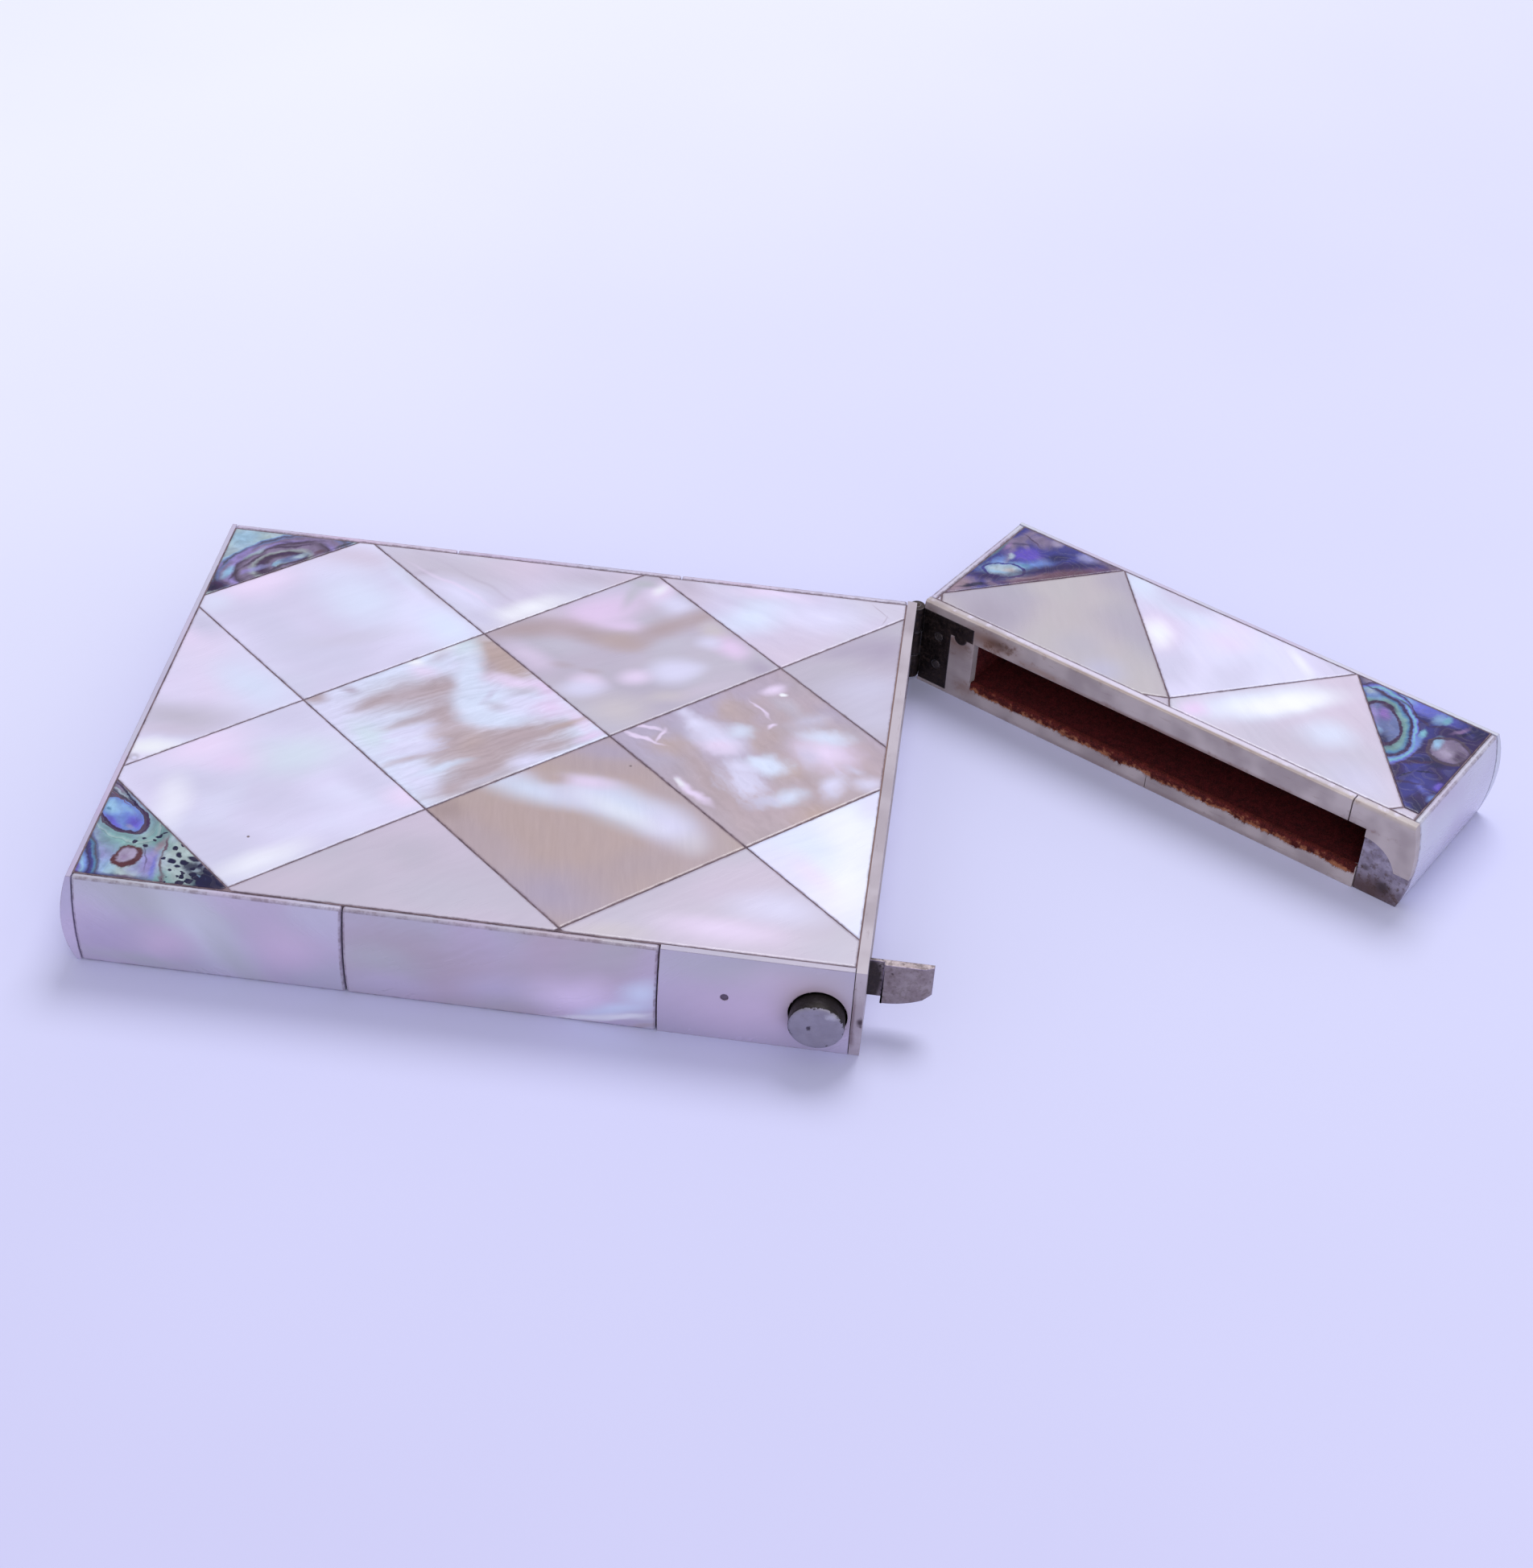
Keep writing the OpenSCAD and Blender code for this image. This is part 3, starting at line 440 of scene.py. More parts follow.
def abaloneMaterial(name, spec, onLid=False):
    material, tree, shader = newMaterial(name)
    vector = objectVector(tree, onLid)
    warp = spec.get("warp", 0.3)
    flow = useGroup(tree, abaloneFlow, {"Vector": vector, "Warp": warp, "Seed": spec["seed"]})
    warped = flow["Warped"]
    low, middle, high = (abaloneTones[tone] for tone in spec["ground"])
    colour = colourRamp(tree, flow["Flow"], [(0.2, low), (0.5, middle), (0.8, high)], "EASE")
    for row in spec["layers"]:
        kind, x, y, rx, ry, angle, *more = row if isinstance(row[0], str) else ("dab", *row)
        if kind == "dab":
            tone, strength, softness = (*more, 0.8)[:3]
            mask = patchMask(tree, warped, (x, y), (rx, ry), angle, softness, flow["Fray"], strength)
            colour = mixColour(tree, mask, colour, abaloneTones[tone])
            continue
        reach = useGroup(tree, softPatch, {
            "Vector": warped, "Centre": (x, y, 0.0), "Size": (rx, ry, 1000.0), "Angle": math.radians(angle),
        })["Distance"]
        if kind == "ring":
            # a thin line round an eye
            width, tone = more
            off = maths(tree, "ABSOLUTE", maths(tree, "SUBTRACT", reach, 1.0))
            mask = mapRange(tree, off, width * 0.4, width, 1.0, 0.0)
            colour = mixColour(tree, mask, colour, abaloneTones[tone])
            continue
        start, end, strength, stops = more
        inside = maths(tree, "DIVIDE", maths(tree, "SUBTRACT", reach, start), end - start)
        stops = [((place - start) / (end - start), abaloneTones[tone]) for place, tone in stops]
        mask = mapRange(tree, inside, 0.92, 1.0, strength, 0.0)
        if start > 0:
            mask = maths(tree, "MULTIPLY", mask, mapRange(tree, inside, 0.0, 0.06))
        colour = mixColour(tree, mask, colour, colourRamp(tree, inside, stops))
    for x, y, rx, ry, angle in spec.get("spots", ()):
        mask = patchMask(tree, warped, (x, y), (rx, ry), angle, 0.35)
        colour = mixColour(tree, mask, colour, abaloneTones["black"])
    specks = spec.get("specks")
    if specks:
        # black dots that crowd together towards one corner
        spots = addNode(tree, "ShaderNodeTexVoronoi", voronoi_dimensions="2D", feature="F1")
        feedAll(tree, spots.inputs, {"Vector": warped, "Scale": specks["scale"]})
        across, along, up = addNode(tree, "ShaderNodeSeparateXYZ", {0: vector}).outputs
        lean = maths(tree, "MULTIPLY", across, specks["dir"][0])
        lean = maths(tree, "MULTIPLY_ADD", along, specks["dir"][1], lean)
        crowd = mapRange(tree, lean, specks["start"], specks["end"], 0.0, specks["size"], False)
        crowd = maths(tree, "MULTIPLY", crowd, mapRange(tree, flow["Flow"], 0.2, 0.8, 0.7, 1.2))
        off = maths(tree, "SUBTRACT", spots.outputs["Distance"], crowd)
        mask = mapRange(tree, off, -0.04, 0.04, 1.0, 0.0)
        colour = mixColour(tree, mask, colour, abaloneTones["black"])
    # hair-fine growth lines and a rolling sheen
    colour = mixColour(tree, maths(tree, "MULTIPLY", flow["Lines"], 0.1), colour, abaloneTones["plumGrey"])
    colour = shaded(tree, colour, flow["Sheen"])
    colour = mixColour(tree, grimeMask(tree, vector, 0.6, 3.3), colour, abaloneTones["plumGrey"])
    rough = maths(tree, "MULTIPLY_ADD", flow["Lines"], 0.15, 0.24)
    height = maths(tree, "MULTIPLY_ADD", flow["Lines"], -0.3, flow["Flow"])
    finishSurface(tree, shader, colour, rough, height, 0.4, 0.05, {
        "Coat Weight": 0.05, "Coat Roughness": 0.1, "Specular IOR Level": 0.3})
    return material


def boneMaterial(name, spec, onLid=False):
    material, tree, shader = newMaterial(name)
    vector = objectVector(tree, onLid)
    grain = useGroup(tree, boneGrain, {"Vector": vector, "Stretch": spec["grain"], "Seed": spec["seed"]})
    light, dark, pore, dirt = coloursOf(spec, "light", "dark", "pore", "dirt")
    colour = mixColour(tree, grain["Cloud"], light, dark)
    colour = mixColour(tree, maths(tree, "MULTIPLY", grain["Pores"], 0.35), colour, pore)
    wander = maths(tree, "MULTIPLY_ADD", grain["Stain"], -0.55, 0.25)
    colour = addStainsAndPaintedLight(tree, colour, vector, spec["stains"], wander)
    colour = mixColour(tree, grimeMask(tree, vector, spec["grime"], 1.7, 0.9), colour, dirt)
    rough = maths(tree, "MULTIPLY_ADD", grain["Pores"], 0.25, 0.42)
    height = maths(tree, "MULTIPLY_ADD", grain["Pores"], -0.5, grain["Cloud"])
    finishSurface(tree, shader, colour, rough, height, 0.4, 0.04)
    return material


def cementMaterial(name, spec, onLid=False):
    material, tree, shader = newMaterial(name)
    vector = objectVector(tree, onLid)
    blots = noiseValue(tree, vector, 0.9, 4.0, 0.6)
    colour = mixColour(tree, mapRange(tree, blots, 0.35, 0.65), *coloursOf(spec, "dark", "light"))
    colour = addStainsAndPaintedLight(tree, colour, vector, spec["patches"])
    finishSurface(tree, shader, colour, 0.8, blots, 0.6, 0.05)
    return material


def metalMaterial(name, spec, onLid=False):
    material, tree, shader = newMaterial(name)
    vector = objectVector(tree, onLid)
    wear = useGroup(tree, metalWear, {
        "Vector": vector, "Scale": spec.get("scale", 1.0), "Seed": spec["seed"],
        "Scratch Stretch": spec.get("scratch", (1.0, 1.0, 1.0))})
    colour = mixColour(tree, wear["Tarnish"], *coloursOf(spec, "bright", "tarnish"))
    wander = maths(tree, "MULTIPLY_ADD", wear["Dirt"], -0.4, 0.15)
    colour = addStainsAndPaintedLight(tree, colour, vector, spec.get("patches", ()), wander)
    pits = maths(tree, "MULTIPLY", wear["Pits"], spec.get("pitAmount", 0.3))
    dirt = maths(tree, "MAXIMUM", maths(tree, "MULTIPLY", wear["Dirt"], spec["dirtAmount"]), pits)
    # a painted highlight along the arrises
    if "edgeHighlight" in spec:
        bright = maths(tree, "MULTIPLY", edgeFade(tree), spec["edgeHighlight"])
        colour = mixColour(tree, bright, colour, srgb(*spec["edgeHighlightColour"]))
    colour = mixColour(tree, dirt, colour, srgb(*spec["dirt"]))
    metallic = maths(tree, "MULTIPLY_ADD", dirt, -0.8 * spec["metallic"], spec["metallic"], clamp=True)
    rough = maths(tree, "MULTIPLY_ADD", wear["Scratches"], 0.12, spec["rough"])
    rough = maths(tree, "MULTIPLY_ADD", dirt, 0.4, rough, clamp=True)
    height = maths(tree, "MULTIPLY_ADD", wear["Pits"], -1.0, wear["Dirt"])
    height = maths(tree, "MULTIPLY_ADD", wear["Scratches"], 0.4, height)
    finishSurface(tree, shader, colour, rough, height, 0.4, 0.04, {"Metallic": metallic})
    return material


def velvetMaterial(name, spec, onLid=False):
    material, tree, shader = newMaterial(name)
    vector = objectVector(tree, onLid)
    pile = noiseValue(tree, vector, 1.4, 4.0, 0.65, spec["seed"])
    nap = noiseValue(tree, vector, 9.0, 2.0, 0.6, spec["seed"] + 3)
    colour = mixColour(tree, mapRange(tree, pile, 0.35, 0.68), spec["dark"], spec["light"])
    tips = maths(tree, "MULTIPLY", mapRange(tree, nap, 0.45, 0.7), 0.5)
    colour = mixColour(tree, tips, colour, spec["tip"])
    if "tipHighlight" in spec:
        # the fringe layer runs up to 1 at the worn tips, which get a painted highlight
        tipHighlight = addNode(tree, "ShaderNodeAttribute", attribute_name="fringe").outputs["Fac"]
        tipHighlight = maths(tree, "MULTIPLY_ADD", maths(tree, "SUBTRACT", pile, 0.5), 2.6, tipHighlight)
        colour = mixColour(tree, mapRange(tree, tipHighlight, 0.55, 1.15), colour, spec["tipHighlight"])
    height = maths(tree, "MULTIPLY_ADD", nap, 0.5, pile)
    finishSurface(tree, shader, colour, 0.95, height, 0.9, 0.2, {
        "Sheen Weight": 0.35, "Sheen Roughness": 0.4, "Sheen Tint": spec["tip"], "Specular IOR Level": 0.2})
    return material


woodLook = {
    "early": srgb(128, 92, 58),
    "late": srgb(158, 120, 80),
    "fibre": srgb(96, 64, 40),
}


def woodMaterial(name, onLid=False):
    material, tree, shader = newMaterial(name)
    vector = objectVector(tree, onLid)
    drawn = vectorMaths(tree, "MULTIPLY", vector, (0.12, 1.0, 1.0))
    bend = noiseValue(tree, drawn, 0.7, 3.0, 0.5, 1.0)
    rings = maths(tree, "SINE", maths(tree, "MULTIPLY", bend, 40.0))
    fibre = noiseValue(tree, vectorMaths(tree, "MULTIPLY", vector, (0.3, 6.0, 6.0)), 1.0, 3.0, 0.6, 2.0)
    colour = mixColour(tree, mapRange(tree, rings, -1.0, 1.0), woodLook["early"], woodLook["late"])
    colour = mixColour(tree, maths(tree, "MULTIPLY", fibre, 0.5), colour, woodLook["fibre"])
    rough = maths(tree, "MULTIPLY_ADD", fibre, 0.2, 0.55)
    finishSurface(tree, shader, colour, rough, fibre, 0.4, 0.05)
    return material


def sceneObject(name, data):
    made = bpy.data.objects.new(name, data)
    bpy.context.scene.collection.objects.link(made)
    return made


def finishPiece(mesh, name, body, material, nodes=()):
    made = sceneObject(name, mesh)
    mesh.materials.clear()
    mesh.materials.append(material)
    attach(made, body)
    if nodes:
        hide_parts(*nodes)
    return made


def meshFrom(bm, name, sharp=None, smooth=False):
    mesh = bpy.data.meshes.new(name)
    bm.to_mesh(mesh)
    bm.free()
    if smooth:
        mesh.shade_smooth()
    if sharp:
        mesh.set_sharp_from_angle(angle=math.radians(sharp))
    return mesh


def mergedCopy(nodeName):
    # the CAD node's mesh as a clean bmesh, doubles merged and flat faces joined
    bm = bmesh.new()
    bm.from_mesh(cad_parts[nodeName].data)
    bmesh.ops.remove_doubles(bm, verts=bm.verts, dist=1e-6)
    bmesh.ops.dissolve_limit(bm, angle_limit=math.radians(0.3), verts=bm.verts, edges=bm.edges)
    bmesh.ops.recalc_face_normals(bm, faces=bm.faces)
    return bm


def islandsOf(bm):
    # groups of faces that hang together
    left = set(bm.faces)
    found = []
    while left:
        stack = [left.pop()]
        island = set(stack)
        while stack:
            for edge in stack.pop().edges:
                for face in edge.link_faces:
                    if face not in island:
                        island.add(face)
                        left.discard(face)
                        stack.append(face)
        found.append(island)
    return found


def prismOutlines(nodeName):
    # outline and heights of each flat plate in a node, seen from above
    bm = mergedCopy(nodeName)
    found = []
    for island in islandsOf(bm):
        heights = [v.co.z for face in island for v in face.verts]
        high, low = max(heights), min(heights)
        top = [f for f in island if f.normal.z > 0.9 and abs(f.calc_center_median().z - high) < 1e-6]
        follow = {}
        for face in top:
            for loop in face.loops:
                if sum(1 for f in loop.edge.link_faces if f in top) == 1:
                    follow[loop.vert] = loop.link_loop_next.vert
        start = min(follow, key=lambda v: (round(v.co.x, 6), round(v.co.y, 6)))
        outline, vert = [], start
        while True:
            outline.append(Vector((vert.co.x, vert.co.y)))
            vert = follow[vert]
            if vert == start:
                break
        found.append((outline, low, high))
    bm.free()
    found.sort(key=lambda plate: (round(plate[0][0].x, 5), round(plate[0][0].y, 5)))
    return found


def insetRing(points, depth):
    made = []
    n = len(points)
    for i in range(n):
        a, b, c = points[i - 1], points[i], points[(i + 1) % n]
        u, v = (b - a).normalized(), (c - b).normalized()
        inward = Vector((-u.y - v.y, u.x + v.x))
        made.append(b + inward * (depth / max(1 + u.dot(v), 0.3)))
    return made


plateCut = {
    "step": 0.9,  # mm between points along a sawn edge
    "wander": 0.022,  # mm that a hand-sawn edge strays
    "cornerRound": 0.10,
    "arris": 0.05,
    "grimeWidth": 0.32,
}


def sawnOutline(outline, seed, chips=()):
    # a straight CAD outline as a hand cuts it: corners eased, edges wandering a little
    cut = plateCut
    eased = []
    n = len(outline)
    for i in range(n):
        a, b, c = outline[i - 1], outline[i], outline[(i + 1) % n]
        r = cut["cornerRound"] * mm
        r1, r2 = min(r, (b - a).length * 0.2), min(r, (c - b).length * 0.2)
        eased.append(b + (a - b).normalized() * r1)
        eased.append(b * 0.6 + (b + (a - b).normalized() * r1) * 0.2 + (b + (c - b).normalized() * r2) * 0.2)
        eased.append(b + (c - b).normalized() * r2)
    points = []
    for i, a in enumerate(eased):
        b = eased[(i + 1) % len(eased)]
        points.append(a)
        length = (b - a).length
        count = int(length / (cut["step"] * mm))
        if count < 2:
            continue
        side = Vector(((a - b).y, (b - a).x)).normalized()
        for k in range(1, count):
            t = k / count
            p = a.lerp(b, t)
            fade = min(1.0, t * 6, (1 - t) * 6)
            stray = noise.noise(Vector((p.x * 900, p.y * 900, seed))) * 0.7
            stray += noise.noise(Vector((p.x * 2600, p.y * 2600, seed + 5))) * 0.5
            points.append(p + side * stray * cut["wander"] * mm * fade)
    for x, y, radius, depth in chips:
        # a chip pushes the outline inwards
        centre = Vector((x * mm, y * mm))
        middle = sum(points, Vector((0, 0))) / len(points)
        inward = (middle - centre).normalized()
        for i, p in enumerate(points):
            reach = (p - centre).length / (radius * mm)
            if reach < 1:
                points[i] = p + inward * depth * mm * (1 - reach * reach)
    return points


def closestOn(points, p):
    # the closest spot to p on a closed outline
    best = None
    for i, a in enumerate(points):
        b = points[(i + 1) % len(points)]
        t = max(0.0, min(1.0, (p - a).dot(b - a) / (b - a).length_squared))
        spot = a.lerp(b, t)
        if best is None or (spot - p).length < (best - p).length:
            best = spot
    return best


def stitchRings(bm, a, b, up):
    # faces between two rings of verts; a vert that a ring repeats closes to a triangle
    n = len(a)
    for i in range(n):
        j = (i + 1) % n
        corners = list(dict.fromkeys((a[i], a[j], b[j], b[i])))
        if len(corners) > 2:
            bm.faces.new(corners if up else corners[::-1])


def buildPlate(bm, edgeLayer, outline, low, high, up, seed, chips=()):
    # one shell plate: sawn outline, worn arris and flat polished face
    points = sawnOutline(outline, seed, chips)
    faceZ, backZ = (high, low) if up else (low, high)
    turn = 1 if up else -1
    arris = plateCut["arris"] * mm
    innerOutline = insetRing(outline, plateCut["grimeWidth"] * mm)
    rings = [
        (points, backZ, 0.0),
        (points, faceZ - turn * arris, 1.0),
        (insetRing(points, arris * 0.35), faceZ - turn * arris * 0.35, 1.0),
        (insetRing(points, arris), faceZ, 0.9),
        ([closestOn(innerOutline, p) for p in points], faceZ, 0.0),
    ]
    made = []
    for ring, z, edge in rings:
        row = []
        for p in ring:
            if row and (row[-1].co.xy - p).length < 1e-6:
                row.append(row[-1])
                continue
            vert = bm.verts.new((p.x, p.y, z))
            vert[edgeLayer] = edge
            row.append(vert)
        made.append(row)
    for a, b in zip(made, made[1:]):
        stitchRings(bm, a, b, up)
    cap = list(dict.fromkeys(made[-1]))
    bm.faces.new(cap if up else cap[::-1])
    bm.faces.new(made[0][::-1] if up else made[0])


def platePiece(nodeName, pieceName, body, material, up=True, seed=0.0, chips=()):
    bm = bmesh.new()
    edgeLayer = bm.verts.layers.float.new("edge")
    for k, (outline, low, high) in enumerate(prismOutlines(nodeName)):
        buildPlate(bm, edgeLayer, outline, low, high, up, seed + k * 1.7, chips)
    mesh = meshFrom(bm, pieceName, 50)
    return finishPiece(mesh, pieceName, body, material, (nodeName,))


def swell(z):
    # how far a narrow side stands out at a height, all in metres
    half, bulge = caseSizes["thickness"] / 2 * mm, caseSizes["bulge"] * mm
    radius = (half * half + bulge * bulge) / (2 * bulge)
    return bulge - radius + math.sqrt(max(radius * radius - (z - half) ** 2, 0))


def roundSides(bm, onLid):
    # cuts a narrow side into level bands and lays them on the true curve
    bands = 16
    turn = closedTurn(onLid)
    bmesh.ops.transform(bm, matrix=turn, verts=bm.verts)
    for k in range(1, bands):
        geom = bm.verts[:] + bm.edges[:] + bm.faces[:]
        level = caseSizes["thickness"] * mm * k / bands
        bmesh.ops.bisect_plane(bm, geom=geom, plane_co=(0, 0, level), plane_no=(0, 0, 1))
    outerX = caseSizes["lidEndX" if onLid else "endX"] * mm
    for vert in bm.verts:
        out = swell(vert.co.z)
        if abs(vert.co.y) > (caseSizes["hingeY"] + 0.01) * mm:
            vert.co.y = math.copysign(caseSizes["hingeY"] * mm + out, vert.co.y)
        if (vert.co.x - outerX) * (1 if onLid else -1) > 0.01 * mm:
            vert.co.x = outerX + (out if onLid else -out)
    bmesh.ops.transform(bm, matrix=turn.inverted(), verts=bm.verts)


def bevelEdges(bm, edges, radius, segments):
    made = bmesh.ops.bevel(bm, geom=edges, offset=radius * mm, offset_type="OFFSET", segments=segments,
                           profile=0.5, affect="EDGES", clamp_overlap=True)
    return set(made["faces"])


def easeMouth(bm, onLid, radius):
    # rounds the upper arris of a rim at its mouth
    turn = closedTurn(onLid)
    line = []
    for edge in bm.edges:
        ends = [turn @ vert.co for vert in edge.verts]
        if all(abs(end.x - caseSizes["lidX" if onLid else "mouthX"] * mm) < 0.01 * mm for end in ends):
            if all(end.z > (caseSizes["thickness"] - 0.01) * mm for end in ends):
                line.append(edge)
    bevelEdges(bm, line, radius, 4)


def wornSolid(nodeName, pieceName, body, material, arris=0.08, segments=2, fade=0.12,
              rounded=False, mouthArris=0.0):
    # a CAD solid with its arrises eased; Edge fades over a narrow band beside them
    bm = mergedCopy(nodeName)
    if rounded:
        roundSides(bm, body == "lid")
    if mouthArris:
        easeMouth(bm, body == "lid", mouthArris)
    sharp = math.radians(40)
    crisp = [e for e in bm.edges if len(e.link_faces) == 2 and e.calc_face_angle(0) > sharp]
    edgeLayer = bm.verts.layers.float.new("edge")
    bevelled = bevelEdges(bm, crisp, arris, segments)
    flat = [f for f in bm.faces if f not in bevelled]
    bmesh.ops.inset_region(bm, faces=flat, thickness=fade * mm, depth=0, use_even_offset=False,
                           use_boundary=True)
    for vert in bm.verts:
        vert[edgeLayer] = 1.0
    for face in flat:
        for vert in face.verts:
            vert[edgeLayer] = 0.0
    return finishPiece(meshFrom(bm, pieceName, 35), pieceName, body, material, (nodeName,))


# camera, floor and light

stageLook = {
    "lens": 63.53,
    "cameraAt": (0.04411, -0.2296, 0.20021),
    "forward": (-0.0575262, 0.76516075, -0.64126419),
    "right": (0.99135469, 0.11965415, 0.0538402),
    "floor": srgb(214, 215, 251),
    # floorFar and floorNear paint the floor lighter far off and darker near
    "floorFar": srgb(234, 236, 255),
    "floorNear": srgb(209, 208, 248),
    "worldLight": 0.57,
    "floorSize": 4.0,  # metres from the middle to each side
    "lamps": {
        # place, what it aims at and width in metres, power in watts
        "key": ((0.12, 0.42, 0.75), (0.02, 0.0, 0.0), 0.45, 3.5),
        "fill": ((0.25, -0.75, 0.45), (0.03, 0.0, 0.0), 0.7, 1.8),
    },
}


def buildStage():
    look = stageLook
    scene = bpy.context.scene
    cameraData = bpy.data.cameras.new("camera")
    cameraData.lens = look["lens"]
    cameraData.sensor_width = 36
    cameraData.clip_start = 0.005
    cameraData.clip_end = 20
    camera = sceneObject("camera", cameraData)
    forward, right = Vector(look["forward"]).normalized(), Vector(look["right"]).normalized()
    up = right.cross(forward).normalized()
    right = forward.cross(up).normalized()
    camera.rotation_euler = Matrix((right, up, -forward)).transposed().to_euler()
    camera.location = look["cameraAt"]
    scene.camera = camera

    mesh = bpy.data.meshes.new("floor")
    size = look["floorSize"]
    corners = [(-size, -size), (size, -size), (size, size), (-size, size)]
    mesh.from_pydata([(x, y, -floorGap) for x, y in corners], [], [(0, 1, 2, 3)])
    sceneObject("floor", mesh)
    material, tree, shader = newMaterial("paleFloor")
    vector = objectVector(tree)
    across, along, up = addNode(tree, "ShaderNodeSeparateXYZ", {0: vector}).outputs
    # the floor is painted lighter towards the far left and darker towards the front: painted light falling
    # off across it
    depth = maths(tree, "MULTIPLY_ADD", across, -1.5, along)
    colour = mixColour(tree, mapRange(tree, depth, -30.0, 330.0), look["floor"], look["floorFar"])
    colour = mixColour(tree, mapRange(tree, along, 0.0, -120.0), colour, look["floorNear"])
    mottle = noiseValue(tree, vector, 0.012, 2.0, 0.5, 1.0)
    colour = shaded(tree, colour, mapRange(tree, mottle, 0.3, 0.7, 0.985, 1.01))
    feedAll(tree, shader.inputs, {"Base Color": colour, "Roughness": 0.9, "Specular IOR Level": 0.05})
    mesh.materials.append(material)

    world = bpy.data.worlds.new("studio")
    world.use_nodes = True
    scene.world = world
    tree = world.node_tree
    tree.nodes.clear()
    white = (1, 1, 1, 1)
    light = addNode(tree, "ShaderNodeBackground", {"Color": white, "Strength": look["worldLight"]})
    seen = addNode(tree, "ShaderNodeBackground", {"Color": look["floorFar"], "Strength": 1.0})
    path = addNode(tree, "ShaderNodeLightPath")
    mix = addNode(tree, "ShaderNodeMixShader", {
        0: path.outputs["Is Camera Ray"], 1: light.outputs[0], 2: seen.outputs[0]})
    addNode(tree, "ShaderNodeOutputWorld", {"Surface": mix.outputs[0]})

    for name, (place, target, size, power) in look["lamps"].items():
        data = bpy.data.lights.new(name, "AREA")
        data.shape = "DISK"
        data.size = size
        data.energy = power
        lamp = sceneObject(name, data)
        lamp.location = place
        lamp.rotation_euler = (Vector(target) - Vector(place)).to_track_quat("-Z", "Y").to_euler()
    scene.view_settings.view_transform = "Standard"


buildStage()
print("card case: stage set")
